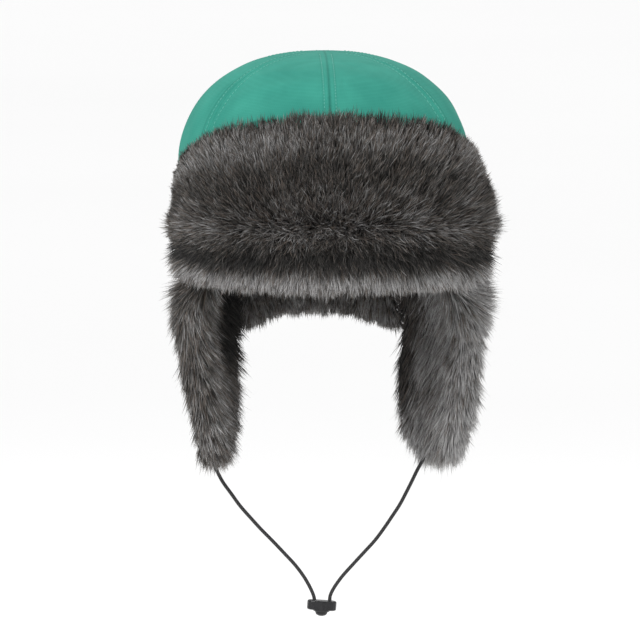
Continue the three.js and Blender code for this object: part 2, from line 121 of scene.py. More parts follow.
# Painted matt floor: a little rough colour, so that it isn't one flat tone.
floor_paint, tree, shader = new_material("matt white floor paint")
coords = add_node(tree, "ShaderNodeTexCoord")
cloud = add_node(tree, "ShaderNodeTexNoise", {"Vector": coords.outputs["Object"], "Scale": 0.7})
paint = add_node(tree, "ShaderNodeValToRGB", {"Fac": cloud}, stops=[(0, "#F7F7F7"), (1, "#FBFBFB")])
tree.links.new(paint.outputs["Color"], shader.inputs["Base Color"])
shader.inputs["Roughness"].default_value = 0.9
FLOOR_HALF = 40000
floor_corners = [(-1, -1), (1, -1), (1, 1), (-1, 1)]
floor = mesh_of(
    "floor",
    [(x * FLOOR_HALF, y * FLOOR_HALF, FLOOR_HEIGHT / MM) for x, y in floor_corners],
    [(0, 1, 2, 3)],
    [floor_paint],
)

world = bpy.data.worlds.new("studio")
bpy.context.scene.world = world
world.use_nodes = True
world.node_tree.nodes["Background"].inputs["Color"].default_value = (1, 1, 1, 1)
world.node_tree.nodes["Background"].inputs["Strength"].default_value = 0.62

LAMPS = [
    {"name": "key lamp", "kind": "SUN", "at": (-1.1, -1.6, 1.9), "size": math.radians(38), "power": 1.9},
    {"name": "low front lamp", "kind": "AREA", "at": (-0.5, -1.5, -0.12), "size": 0.16, "power": 0.7},
    {"name": "right lamp", "kind": "AREA", "at": (1.8, -1.4, 0.5), "size": 1.0, "power": 6},
    {"name": "back lamp", "kind": "AREA", "at": (0.3, 1.6, 1.5), "size": 1.2, "power": 8},
]
for lamp in LAMPS:
    light = bpy.data.lights.new(lamp["name"], lamp["kind"])
    light.energy = lamp["power"]
    if lamp["kind"] == "SUN":
        light.angle = lamp["size"]
    else:
        light.shape = "DISK"
        light.size = lamp["size"]
    holder = bpy.data.objects.new(lamp["name"], light)
    bpy.context.scene.collection.objects.link(holder)
    holder.location = lamp["at"]
    away = holder.location.normalized()
    holder.rotation_euler = away.to_track_quat("Z", "Y").to_euler()

# Chin cord
# One length of round braided elastic, 2.5 mm thick. It is sewn into the tip of one ear flap, runs down
# through the cord lock, turns inside it and goes up into the tip of the other flap.
CORD_DIAMETER = 2.5
CORD_Y = 22
CORD_ROUTE = [
    (-82.3, -124.6), (-80.6, -131), (-77.6, -137.8), (-74.7, -143.9), (-70.3, -152.3), (-64.3, -160.7),
    (-58.2, -169.2), (-50.9, -177.6), (-43.3, -186.0), (-35.0, -194.5), (-27.1, -202.9), (-19.4, -211.3),
    (-13.1, -219.8), (-8.4, -228.2), (-6.2, -233.6), (-5.57, -237.0), (-4.36, -241.0), (-0.8, -242.8),
    (2.98, -241.5), (4.8, -237.7), (5.3, -233.4), (7.8, -228.0), (13.6, -219.8), (21.2, -211.3),
    (28.9, -202.9), (36.6, -194.5), (43.0, -186.0), (48.7, -177.6), (54.2, -169.2), (58.7, -160.7),
    (62.9, -152.3), (67.0, -143.9), (71.2, -136.8), (76.6, -130.6), (83.0, -124.6),
]  # fmt: skip
CORD_RING_STEP = 0.9
CORD_SIDES = 12


def smooth_path(points, per_span):
    """A curve through points that doesn't swing past them (centripetal Catmull-Rom)."""
    p = np.asarray(points, float)
    p = np.vstack([2 * p[0] - p[1], p, 2 * p[-1] - p[-2]])
    out = []
    for i in range(1, len(p) - 2):
        knots = [0.0]
        for a, b in ((i - 1, i), (i, i + 1), (i + 1, i + 2)):
            knots.append(knots[-1] + max(np.linalg.norm(p[b] - p[a]), 1e-6) ** 0.5)
        t0, t1, t2, t3 = knots
        for t in np.linspace(t1, t2, per_span, endpoint=False):
            a1 = (t1 - t) / (t1 - t0) * p[i - 1] + (t - t0) / (t1 - t0) * p[i]
            a2 = (t2 - t) / (t2 - t1) * p[i] + (t - t1) / (t2 - t1) * p[i + 1]
            a3 = (t3 - t) / (t3 - t2) * p[i + 1] + (t - t2) / (t3 - t2) * p[i + 2]
            b1 = (t2 - t) / (t2 - t0) * a1 + (t - t0) / (t2 - t0) * a2
            b2 = (t3 - t) / (t3 - t1) * a2 + (t - t1) / (t3 - t1) * a3
            out.append((t2 - t) / (t2 - t1) * b1 + (t - t1) / (t2 - t1) * b2)
    out.append(p[-2])
    return np.array(out)


def evenly(points, count):
    """Points at equal distances along a line."""
    points = np.asarray(points, float)
    run = np.concatenate([[0], np.cumsum(np.linalg.norm(np.diff(points, axis=0), axis=1))])
    wanted = np.linspace(0, run[-1], count)
    return np.stack([np.interp(wanted, run, points[:, k]) for k in range(3)], axis=1), run[-1]


route = smooth_path([(x, CORD_Y, z) for x, z in CORD_ROUTE], 8)
cord_length = evenly(route, 2)[1]
rings = int(cord_length / CORD_RING_STEP)
cord_line = evenly(route, rings)[0]
along = np.gradient(cord_line, axis=0)
along /= np.linalg.norm(along, axis=1)[:, None]
side = np.cross(along, [0, 1, 0])
turns = np.linspace(0, 2 * math.pi, CORD_SIDES, endpoint=False)
cord_points = (
    cord_line[:, None]
    + CORD_DIAMETER / 2 * np.cos(turns)[None, :, None] * side[:, None]
    + CORD_DIAMETER / 2 * np.sin(turns)[None, :, None] * np.array([0, 1, 0])
)
cord_faces = [
    (r * CORD_SIDES + k, (r + 1) * CORD_SIDES + k, (r + 1) * CORD_SIDES + n, r * CORD_SIDES + n)
    for r in range(rings - 1)
    for k, n in ((k, (k + 1) % CORD_SIDES) for k in range(CORD_SIDES))
]
cord_faces.append(tuple(range(CORD_SIDES)))
cord_faces.append(tuple((rings - 1) * CORD_SIDES + k for k in reversed(range(CORD_SIDES))))

# Braided elastic: matt dark threads that cross at 45 degrees, one braid repeat every 1.6 mm.
elastic, tree, shader = new_material("braided elastic")
BRAID_PITCH = 1.6
# A wave texture on a UV map in millimetres repeats every 0.314 / scale.
WAVE_SCALE = 0.314
lay = add_node(tree, "ShaderNodeUVMap", uv_map="braid")
waves = []
for turn in (45, -45):
    turned = add_node(tree, "ShaderNodeMapping", {"Vector": lay, "Rotation": (0, 0, math.radians(turn))})
    waves.append(add_node(tree, "ShaderNodeTexWave", {"Vector": turned, "Scale": WAVE_SCALE / BRAID_PITCH}))
crossing = add_node(tree, "ShaderNodeMath", {0: waves[0], 1: waves[1]}, operation="MULTIPLY")
shades = add_node(tree, "ShaderNodeValToRGB", {"Fac": crossing}, stops=[(0, "#1E1E1F"), (1, "#4C4B4B")])
relief = add_node(tree, "ShaderNodeBump", {"Height": crossing, "Strength": 0.8, "Distance": 0.0002})
tree.links.new(shades.outputs["Color"], shader.inputs["Base Color"])
tree.links.new(relief.outputs["Normal"], shader.inputs["Normal"])
shader.inputs["Roughness"].default_value = 0.8

cord = mesh_of("chin_cord_elastic", cord_points.reshape(-1, 3), cord_faces, [elastic])


def write_uv(obj, name, values):
    """Stores a UV map: one pair for each corner."""
    layer = obj.data.uv_layers.new(name=name)
    layer.data.foreach_set("uv", np.asarray(values, np.float32).ravel())


corner_point = np.zeros(len(cord.data.loops), np.int32)
cord.data.loops.foreach_get("vertex_index", corner_point)
lengthwise = np.repeat(np.linspace(0, cord_length, rings), CORD_SIDES)
# Round the cord the far side of the last strip is a full turn, not zero.
around = np.tile(turns, rings)[corner_point]
in_strip = np.arange(len(around)) // 4 % CORD_SIDES
on_strips = np.arange(len(around)) < 4 * CORD_SIDES * (rings - 1)
last = (in_strip == CORD_SIDES - 1) & (around < 1e-6) & on_strips
around = np.where(last, 2 * math.pi, around)
write_uv(cord, "braid", np.stack([lengthwise[corner_point], around * CORD_DIAMETER / 2], axis=1))
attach(cord, "hat")
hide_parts("chin_cord")

# Crown
# Six padded panels of teal nylon, sewn together up to the top. Each seam is a shallow ditch with a row of
# topstitching on either side, and the cloth puckers a little along it.
CROWN_WIDTH = 203
CROWN_DEPTH = 240
CROWN_HEIGHT = 152
SHOULDER_HEIGHT = 60
RIM_TUCK = 7
DOME_POWER = 2.4
PANEL_COUNT = 6
PANEL_BULGE = 1.6
SEAM_DEPTH = 1.1
SEAM_WIDTH = 0.8
STITCH_OFFSET = 4.4
CROWN_CLOTH = 2.2
CROWN_WALL = 4.6
CROWN_DENTS = [
    {"around": -38, "up": 0.9, "spread": 22, "rise": 0.09, "depth": 2.0},
    {"around": 20, "up": 0.8, "spread": 9, "rise": 0.12, "depth": 1.4},
    {"around": 62, "up": 0.86, "spread": 16, "rise": 0.1, "depth": 1.8},
    {"around": 150, "up": 0.75, "spread": 18, "rise": 0.16, "depth": 2.4},
    {"around": 215, "up": 0.8, "spread": 20, "rise": 0.12, "depth": 2.0},
]
# Creases in the cloth: where they start and end (degrees round, share of the height) and how deep.
CROWN_CREASES = [
    {"start": (7, 0.965), "end": (10, 0.74), "depth": 1.3, "width": 1.7},
    {"start": (10, 0.975), "end": (27, 0.94), "depth": 1.1, "width": 2.2},
    {"start": (-8, 0.985), "end": (-34, 0.95), "depth": 1.0, "width": 2.6},
    {"start": (-52, 0.9), "end": (-64, 0.62), "depth": 0.9, "width": 4.0},
    {"start": (40, 0.9), "end": (52, 0.7), "depth": 0.7, "width": 3.6},
    {"start": (-24, 0.88), "end": (-40, 0.74), "depth": 0.6, "width": 4.2},
    {"start": (128, 0.84), "end": (146, 0.5), "depth": 1.0, "width": 4.0},
    {"start": (170, 0.72), "end": (196, 0.5), "depth": 0.9, "width": 4.4},
    {"start": (222, 0.86), "end": (204, 0.6), "depth": 0.9, "width": 3.8},
    {"start": (96, 0.8), "end": (86, 0.52), "depth": 0.8, "width": 4.0},
]
CREASE_RADIUS = 105


def crown_halves(z, wall=0.0):
    """Half width and half depth of the crown at heights, inset by a wall."""
    z = np.asarray(z, float)
    half_width, half_depth = CROWN_WIDTH / 2 - wall, CROWN_DEPTH / 2 - wall
    tuck = RIM_TUCK * (1 - np.clip(z, 0, SHOULDER_HEIGHT) / SHOULDER_HEIGHT) ** 2
    up = np.clip((z - SHOULDER_HEIGHT) / (CROWN_HEIGHT - wall - SHOULDER_HEIGHT), 0, 1)
    shrink = (1 - up**DOME_POWER) ** (1 / DOME_POWER)
    return (half_width - tuck) * shrink, (half_depth - tuck) * shrink


def on_plan(half_width, half_depth, degrees, z):
    """Points on an ellipse of the plan, at angles from the front of the hat towards +X."""
    turn = np.radians(degrees)
    parts = np.broadcast_arrays(half_width * np.sin(turn), -half_depth * np.cos(turn), z)
    return np.stack(parts, axis=-1)


def from_seam(degrees):
    """Degrees to the nearest seam."""
    pitch = 360 / PANEL_COUNT
    return (np.asarray(degrees) + pitch / 2) % pitch - pitch / 2


def folds(points):
    """Soft folds of cloth over wadding, about 20 mm apart, as heights at points."""
    x, y, z = points[..., 0], points[..., 1], points[..., 2]
    warp = 4 * np.sin(z / 17 + x / 31) + 3 * np.sin(y / 23 - z / 29)
    first = np.sin((x + 0.6 * y + warp) / 7.3 + 1.1 * np.sin(z / 26))
    second = np.sin((y - 0.5 * x) / 6.1 + z / 11 + warp / 5)
    third = np.sin((z + warp) / 8.7 + x / 19)
    return 0.6 * first * second + 0.4 * second * third


def crown_relief(degrees, z):
    """How far the cloth stands out or sinks in, on grids of angle and height."""
    above = np.clip((z - SHOULDER_HEIGHT) / (CROWN_HEIGHT - SHOULDER_HEIGHT), 0, 1)
    half_width, half_depth = crown_halves(z)
    radius = (half_width + half_depth) / 2
    panel = np.abs(np.sin(np.radians(degrees * PANEL_COUNT / 2))) ** 0.7
    relief = PANEL_BULGE * panel * np.sin(math.pi * above) ** 0.8
    for dent in CROWN_DENTS:
        round_ = ((degrees - dent["around"] + 180) % 360 - 180) / dent["spread"]
        rise = (z / CROWN_HEIGHT - dent["up"]) / dent["rise"]
        relief = relief - dent["depth"] * np.exp(-(round_**2) - rise**2)
    per_degree = CREASE_RADIUS * np.pi / 180
    for crease in CROWN_CREASES:
        (a0, u0), (a1, u1) = crease["start"], crease["end"]
        sideways = ((degrees - a0 + 180) % 360 - 180) * per_degree
        spot = np.stack([sideways, (z / CROWN_HEIGHT - u0) * CROWN_HEIGHT])
        line = np.array([(a1 - a0) * per_degree, (u1 - u0) * CROWN_HEIGHT])
        share = np.clip((spot[0] * line[0] + spot[1] * line[1]) / (line @ line), 0, 1)
        off = np.hypot(spot[0] - share * line[0], spot[1] - share * line[1])
        bowed = off + 1.2 * np.sin(math.pi * share)
        relief = relief - crease["depth"] * np.sin(math.pi * np.clip(share, 0.04, 0.96)) * np.exp(
            -((bowed / crease["width"]) ** 2)
        )
    away = np.abs(from_seam(degrees)) * np.pi / 180 * radius
    rise = z + 0.3 * degrees
    pucker = np.sin(rise * 2 * np.pi / 6.3) + 0.6 * np.sin(rise * 2 * np.pi / 4.1 + 1)
    relief = relief - SEAM_DEPTH * np.exp(-((away / SEAM_WIDTH) ** 2))
    relief = relief + 0.4 * np.exp(-(((away - STITCH_OFFSET * 0.55) / 1.2) ** 2))
    relief = relief - 0.45 * np.exp(-(((away - STITCH_OFFSET) / 0.7) ** 2))
    relief = relief + 0.22 * pucker * np.exp(-(((away - STITCH_OFFSET * 0.6) / 4.0) ** 2))
    soft = folds(on_plan(half_width, half_depth, degrees, z))
    relief = relief + 0.55 * soft * np.clip(away / 12, 0.2, 1)
    return relief * np.clip(radius / 40, 0, 1)


CROWN_COLUMNS = 324
CROWN_ROWS = 90


def crown_heights(rows, wall=0.0):
    """Heights from the rim to the top, closer together over the dome."""
    side_rows = rows // 3
    lower = np.linspace(0, SHOULDER_HEIGHT, side_rows, endpoint=False)
    turn = np.linspace(0, math.radians(89.2), rows - side_rows)
    upper = SHOULDER_HEIGHT + (CROWN_HEIGHT - wall - SHOULDER_HEIGHT) * np.sin(turn) ** (2 / DOME_POWER)
    return np.concatenate([lower, upper])


def crown_surface(rows, columns, wall, share_of_relief):
    """A grid of points over the crown: rows by columns, the columns closer together at the seams."""
    share = np.linspace(0, PANEL_COUNT, columns, endpoint=False)
    bunched = (share - 0.8 * np.sin(2 * math.pi * share) / (2 * math.pi)) * 360 / PANEL_COUNT
    degrees, z = np.meshgrid(bunched, crown_heights(rows, wall))
    half_width, half_depth = crown_halves(z, wall)
    relief = crown_relief(degrees, z) * share_of_relief
    return on_plan(half_width + relief, half_depth + relief, degrees, z)


def ring_faces(rows, columns):
    """Quads between closed rows of points."""
    return [
        (row + k, row + (k + 1) % columns, row + columns + (k + 1) % columns, row + columns + k)
        for row in range(0, (rows - 1) * columns, columns)
        for k in range(columns)
    ]


def closed_dome(outer, inner):
    """A domed wall between two grids of points, closed at its rim and at its top on both sides."""
    rows, columns, _ = outer.shape
    inner_rows = inner.shape[0]
    rim = (outer[0] + inner[0]) / 2 - [0, 0, 0.5 * np.linalg.norm(outer[0, 0] - inner[0, 0])]
    grid = np.concatenate([inner[::-1], rim[None], outer])
    total = inner_rows + 1 + rows
    points = np.vstack([grid.reshape(-1, 3), inner[-1].mean(0), outer[-1].mean(0)])
    faces = ring_faces(total, columns)
    bottom, top = total * columns, total * columns + 1
    first = (total - 1) * columns
    faces += [(bottom, (k + 1) % columns, k) for k in range(columns)]
    faces += [(top, first + k, first + (k + 1) % columns) for k in range(columns)]
    return points, faces


# Woven nylon taffeta, piece dyed: a plain, almost matt weave. The threads are drawn at 1.5 mm, coarser than
# real, so that the weave shows. The colour drifts a little where the cloth has creased.
nylon, tree, shader = new_material("teal nylon taffeta")
THREAD_PITCH = 1.5
coords = add_node(tree, "ShaderNodeTexCoord")
cloth = add_node(tree, "ShaderNodeUVMap", uv_map="cloth")
threads = [
    add_node(
        tree,
        "ShaderNodeTexWave",
        {"Vector": cloth, "Scale": WAVE_SCALE / THREAD_PITCH, "Distortion": 0.4, "Detail": 1.0},
        bands_direction=direction,
    )
    for direction in ("X", "Y")
]
weave = add_node(tree, "ShaderNodeMath", {0: threads[0], 1: threads[1]}, operation="MAXIMUM")
drift = add_node(
    tree,
    "ShaderNodeTexNoise",
    {"Vector": coords.outputs["Object"], "Scale": 26.0, "Detail": 5.0, "Roughness": 0.6},
)
tones = add_node(tree, "ShaderNodeValToRGB", {"Fac": drift}, stops=[(0.3, "#338B7C"), (0.72, "#409C8B")])
woven = add_node(
    tree, "ShaderNodeMix", {0: weave, 6: to_linear("#F0F6F5"), 7: to_linear("#FFFFFF")}, data_type="RGBA"
)
dyed = add_node(
    tree, "ShaderNodeMix", {0: 1.0, 6: tones, 7: woven.outputs[2]}, data_type="RGBA", blend_type="MULTIPLY"
)
crumple = add_node(
    tree,
    "ShaderNodeTexNoise",
    {"Vector": coords.outputs["Object"], "Scale": 60.0, "Detail": 4.0, "Distortion": 0.6},
)
crumpled = add_node(tree, "ShaderNodeBump", {"Height": crumple, "Strength": 0.35, "Distance": 0.0012})
weave_bump = add_node(
    tree, "ShaderNodeBump", {"Height": weave, "Strength": 0.25, "Distance": 0.0001, "Normal": crumpled}
)
# Painted shade: the cloth is darkened down in the seams and along the sunken rows of stitches.
seam_shade = add_node(tree, "ShaderNodeAttribute", attribute_name="ditch")
seam_shaded = add_node(
    tree,
    "ShaderNodeMix",
    {0: seam_shade.outputs["Fac"], 6: dyed.outputs[2], 7: to_linear("#1F6257")},
    data_type="RGBA",
)
tree.links.new(seam_shaded.outputs[2], shader.inputs["Base Color"])
tree.links.new(weave_bump.outputs["Normal"], shader.inputs["Normal"])
shader.inputs["Roughness"].default_value = 0.75
shader.inputs["Specular IOR Level"].default_value = 0.12

outer = crown_surface(CROWN_ROWS, CROWN_COLUMNS, 0, 1.0)
inner = crown_surface(14, CROWN_COLUMNS, CROWN_CLOTH, 1.0)
crown = mesh_of("crown_panels", *closed_dome(outer, inner), [nylon])


def point_of_corner(obj):
    """The number of the point at each corner."""
    numbers = np.zeros(len(obj.data.loops), np.int32)
    obj.data.loops.foreach_get("vertex_index", numbers)
    return numbers


def coords_of(obj):
    """The points of a mesh, in millimetres."""
    flat = np.zeros(len(obj.data.vertices) * 3, np.float32)
    obj.data.vertices.foreach_get("co", flat)
    return flat.reshape(-1, 3) / MM


def lay_cloth(obj, pitch=360):
    """Lays cloth on a piece that goes round the head: its UV map is in millimetres, panel by panel."""
    corners = coords_of(obj)[point_of_corner(obj)]
    degrees = np.degrees(np.arctan2(corners[:, 0], -corners[:, 1]))
    starts = np.zeros(len(obj.data.polygons), np.int32)
    counts = np.zeros(len(obj.data.polygons), np.int32)
    obj.data.polygons.foreach_get("loop_start", starts)
    obj.data.polygons.foreach_get("loop_total", counts)
    face = np.repeat(np.arange(len(starts)), counts)
    middle = np.add.reduceat(corners, starts) / counts[:, None]
    middle_degrees = np.degrees(np.arctan2(middle[:, 0], -middle[:, 1]))
    panel = (np.floor((middle_degrees % 360) / pitch) + 0.5) * pitch
    across = (degrees - panel[face] + 180) % 360 - 180
    radius = np.hypot(corners[:, 0], corners[:, 1])
    climb = np.where(corners[:, 2] > SHOULDER_HEIGHT, 1.25, 1.0) * (corners[:, 2] - SHOULDER_HEIGHT)
    climb = climb - 0.45 * np.maximum(0, 100 - radius) * (corners[:, 2] > SHOULDER_HEIGHT)
    write_uv(obj, "cloth", np.stack([np.radians(across) * radius, climb], axis=1))


lay_cloth(crown, 360 / PANEL_COUNT)
spots = coords_of(crown)
spot_away = np.abs(from_seam(np.degrees(np.arctan2(spots[:, 0], -spots[:, 1])))) * np.pi / 180
spot_away = spot_away * np.hypot(spots[:, 0], spots[:, 1])
# Painted shade: how far the cloth is darkened in each seam ditch and along the sunken rows of stitches.
ditch = np.exp(-((spot_away / 0.8) ** 2)) + 0.5 * np.exp(-(((spot_away - STITCH_OFFSET) / 0.6) ** 2))
ditches = crown.data.attributes.new("ditch", "FLOAT", "POINT")
ditches.data.foreach_set("value", ditch.astype(np.float32) * 0.42)
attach(crown, "hat")
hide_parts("crown")

# Crown lining
# A loose inner cap of dark polyester, sewn in at the rim. It closes the wadding in and is what the head
# touches.

# Woven polyester twill: fine diagonal ribs, drawn every 1.2 mm so that they show, with a low silky gloss.
lining_cloth, tree, shader = new_material("dark polyester lining")
coords = add_node(tree, "ShaderNodeTexCoord")
ribs = add_node(
    tree,
    "ShaderNodeTexWave",
    {"Vector": coords.outputs["Object"], "Scale": 260.0, "Distortion": 0.6, "Detail": 1.0},
    bands_direction="DIAGONAL",
)
ramp = add_node(tree, "ShaderNodeValToRGB", {"Fac": ribs}, stops=[(0, "#1B1C1E"), (1, "#2E3033")])
rib_bump = add_node(tree, "ShaderNodeBump", {"Height": ribs, "Strength": 0.3, "Distance": 0.0002})
tree.links.new(ramp.outputs["Color"], shader.inputs["Base Color"])
tree.links.new(rib_bump.outputs["Normal"], shader.inputs["Normal"])
shader.inputs["Roughness"].default_value = 0.5

lining_outer = crown_surface(20, 144, CROWN_CLOTH + 0.5, 0.9)
lining_inner = crown_surface(34, 144, CROWN_WALL, 0.8)
lining = mesh_of("crown_lining", *closed_dome(lining_outer, lining_inner), [lining_cloth])
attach(lining, "hat")
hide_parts("crown")

# Visor backing
# The stiffened front flap, sewn to the rim and folded up against the crown: a padded panel of the same nylon
# taffeta, with its edge turned in. Its front carries the fur.
SEAM_GAP = 0.5
VISOR_HEIGHT = 106
VISOR_HALF_ANGLE = 75
VISOR_THICKNESS = 3.5
VISOR_FLARE = 3
VISOR_ROWS = [
    {"at": -1.0, "top": 0.66, "pile": 0.24},
    {"at": -0.92, "top": 0.74, "pile": 0.34},
    {"at": -0.8, "top": 0.8, "pile": 0.5},
    {"at": -0.5, "top": 0.91, "pile": 0.9},
    {"at": 0.0, "top": 1.0, "pile": 1.0},
    {"at": 0.5, "top": 0.93, "pile": 1.0},
    {"at": 0.8, "top": 0.82, "pile": 0.9},
    {"at": 0.92, "top": 0.75, "pile": 0.8},
    {"at": 1.0, "top": 0.66, "pile": 0.6},
]


def read(rows, key, column, places):
    """A column of a table at places between its rows, along a monotone cubic curve."""
    x = np.array([row[key] for row in rows], float)
    y = np.array([row[column] for row in rows], float)
    slopes = np.diff(y) / np.diff(x)
    tangents = np.concatenate([[slopes[0]], np.zeros(len(x) - 2), [slopes[-1]]])
    for k in range(1, len(x) - 1):
        before, after = slopes[k - 1], slopes[k]
        tangents[k] = 0 if before * after <= 0 else 2 * before * after / (before + after)
    place = np.clip(np.asarray(places, float), x[0], x[-1])
    i = np.clip(np.searchsorted(x, place, side="right") - 1, 0, len(x) - 2)
    width = x[i + 1] - x[i]
    t = (place - x[i]) / width
    return (
        y[i] * (1 + 2 * t) * (1 - t) ** 2
        + tangents[i] * width * t * (1 - t) ** 2
        + y[i + 1] * t * t * (3 - 2 * t)
        + tangents[i + 1] * width * t * t * (t - 1)
    )


def visor_point(degrees, z, out):
    """Points of the visor's inner face, moved out by a distance."""
    half_width, half_depth = crown_halves(np.minimum(z, SHOULDER_HEIGHT))
    flare = VISOR_FLARE * np.maximum(0, (z - SHOULDER_HEIGHT) / (VISOR_HEIGHT - SHOULDER_HEIGHT))
    off = SEAM_GAP + flare + out
    return on_plan(half_width + off, half_depth + off, degrees, z)


def visor_top(degrees):
    """The height of the visor's upper edge."""
    return VISOR_HEIGHT * read(VISOR_ROWS, "at", "top", np.asarray(degrees) / VISOR_HALF_ANGLE)


def rounded(count, power=6):
    """Shares from 0 to 1, closer together near the ends, and how thick a padded edge is at each."""
    share = (1 - np.cos(np.linspace(0, math.pi, count))) / 2
    return share, (1 - np.abs(2 * share - 1) ** power) ** (1 / power)


def closed_sleeve(loops):
    """A solid through closed loops of equal count, each end closed across from point to point."""
    stations, count, _ = loops.shape
    faces = ring_faces(stations, count)
    base = (stations - 1) * count
    for i in range(count // 2 - 1):
        j = count - 1 - i
        faces.append((i + 1, i, j, j - 1))
        faces.append((base + i, base + i + 1, base + j - 1, base + j))
    return loops.reshape(-1, 3), faces


def padded_slab(place, stations, levels, thickness):
    """A padded panel with rounded edges and a hem groove. place(s, t, out) gives points for shares along and
    across the panel and a distance out."""
    s_share, s_round = rounded(stations, 10)
    t_share, t_round = rounded(levels, 6)
    loops = []
    spots = np.array([place(s, t_share, thickness) for s in s_share])
    edges = (spots[-1:], spots[:, :1], spots[:, -1:])
    near = np.min([np.linalg.norm(spots - edge, axis=2) for edge in edges], axis=0)
    puffed = 0.3 * folds(spots) * np.clip(near / 10, 0, 1) - 0.45 * np.exp(-(((near - 5) / 1.4) ** 2))
    for s, ends, puff in zip(s_share, s_round, puffed):
        half = thickness / 2 * np.maximum(t_round * max(ends, 0.02), 0.02)
        front = place(s, t_share, thickness / 2 + half + puff * (half > thickness * 0.45))
        back = place(s, t_share, thickness / 2 - half)
        loops.append(np.vstack([front, back[::-1]]))
    return closed_sleeve(np.array(loops))


def point_outwards(obj):
    """Turns every face of a closed piece outwards."""
    work = bmesh.new()
    work.from_mesh(obj.data)
    bmesh.ops.remove_doubles(work, verts=work.verts, dist=1e-6)
    bmesh.ops.recalc_face_normals(work, faces=work.faces)
    work.to_mesh(obj.data)
    work.free()


def visor_slab(s, t, out):
    degrees = (2 * s - 1) * VISOR_HALF_ANGLE
    return visor_point(degrees, t * visor_top(degrees), out)


visor_backing = mesh_of("visor_backing", *padded_slab(visor_slab, 81, 21, VISOR_THICKNESS), [nylon])
point_outwards(visor_backing)
lay_cloth(visor_backing)
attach(visor_backing, "hat")
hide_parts("visor_shell")

# Ear flaps
# A padded tongue of the same nylon, sewn to the rim at either side, hangs down. Its edge is turned in and
# topstitched all round, and its front edge curls out a little.
EAR_LENGTH = 124
EAR_THICKNESS = 3
EAR_FLARE = 7
EAR_CURL = 0.9
EAR_ROWS = [
    {"down": 0.0, "front": 68, "rear": 136, "flare": 0.0, "lean": 0.0, "pile": 0.7},
    {"down": 0.1, "front": 69, "rear": 136, "flare": 0.55, "lean": 0.02, "pile": 0.85},
    {"down": 0.25, "front": 71, "rear": 134.5, "flare": 1.0, "lean": 0.1, "pile": 1.0},
    {"down": 0.5, "front": 74, "rear": 131, "flare": 1.0, "lean": 0.4, "pile": 1.0},
    {"down": 0.72, "front": 78, "rear": 127, "flare": 0.85, "lean": 0.7, "pile": 0.9},
    {"down": 0.88, "front": 82, "rear": 122, "flare": 0.7, "lean": 0.88, "pile": 0.76},
    {"down": 0.96, "front": 87, "rear": 116, "flare": 0.6, "lean": 0.97, "pile": 0.62},
    {"down": 1.0, "front": 94, "rear": 109, "flare": 0.6, "lean": 1.0, "pile": 0.45},
]
EAR_SIDES = [
    {"name": "left", "side": -1, "lean_front": 18, "lean_rear": 10},
    {"name": "right", "side": 1, "lean_front": 3, "lean_rear": 19},
]


def ear_point(wing, down, across, out, past, z):
    """Points of a flap: down it, across it from front (0) to rear (1), out from its outer face and past its
    edges, at a height."""
    front = read(EAR_ROWS, "down", "front", down) - past
    rear = read(EAR_ROWS, "down", "rear", down) + past
    degrees = front + (rear - front) * across
    half_width, half_depth = crown_halves(0)
    back = (degrees - EAR_ROWS[0]["front"]) / (EAR_ROWS[0]["rear"] - EAR_ROWS[0]["front"])
    curl = 1 + EAR_CURL * np.maximum(0, 1 - back) ** 2
    flare = EAR_FLARE * read(EAR_ROWS, "down", "flare", down) * curl
    lean = read(EAR_ROWS, "down", "lean", down) * (
        wing["lean_front"] + (wing["lean_rear"] - wing["lean_front"]) * back
    )
    point = on_plan(half_width + flare + out, half_depth + flare + out, degrees, z)
    return np.stack([wing["side"] * (point[..., 0] - lean), point[..., 1], point[..., 2]], axis=-1)


def ear_slab(wing):
    def place(s, t, out):
        z = -SEAM_GAP + (SEAM_GAP - EAR_LENGTH) * s
        return ear_point(wing, np.full_like(t, s), t, out - EAR_THICKNESS, 0, np.full_like(t, z))

    return place


for wing in EAR_SIDES:
    flap = mesh_of(
        f"ear_flap_{wing['name']}_cloth", *padded_slab(ear_slab(wing), 71, 45, EAR_THICKNESS), [nylon]
    )
    point_outwards(flap)
    lay_cloth(flap)
    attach(flap, "hat")
    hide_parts(f"ear_flap_{wing['name']}")

# Neck flap
# A short padded panel of the same nylon, sewn to the back of the rim and made as the ear flaps are. It is
# longer at its ends.
NECK_LENGTH = 40
NECK_HALF_ANGLE = 36
NECK_THICKNESS = 3
NECK_ROWS = [
    {"at": 0.0, "length": 0.7},
    {"at": 0.4, "length": 0.74},
    {"at": 0.8, "length": 0.92},
    {"at": 1.0, "length": 1.0},
]


def neck_point(at, fall, out, past=0.0, drop=0.0):
    """Points of the neck flap: along it from -1 to 1, down it, and out from its outer face."""
    half_width, half_depth = crown_halves(0)
    bottom = -NECK_LENGTH * read(NECK_ROWS, "at", "length", np.abs(at)) - drop
    z = -SEAM_GAP + (bottom + SEAM_GAP) * fall
    return on_plan(half_width + out, half_depth + out, 180 + at * (NECK_HALF_ANGLE + past), z)


def neck_slab(s, t, out):
    return neck_point(np.full_like(t, 2 * s - 1), t, out - NECK_THICKNESS)


neck = mesh_of("neck_flap_cloth", *padded_slab(neck_slab, 61, 25, NECK_THICKNESS), [nylon])
point_outwards(neck)
lay_cloth(neck)
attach(neck, "hat")
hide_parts("neck_flap")

# Topstitching
# Rows of teal thread on both sides of each crown seam and inside the edges of the ear and neck flaps: one
# lockstitch every 3.2 mm.
STITCH_PITCH = 3.2
STITCH_LENGTH = 2.3
STITCH_THICKNESS = 0.55

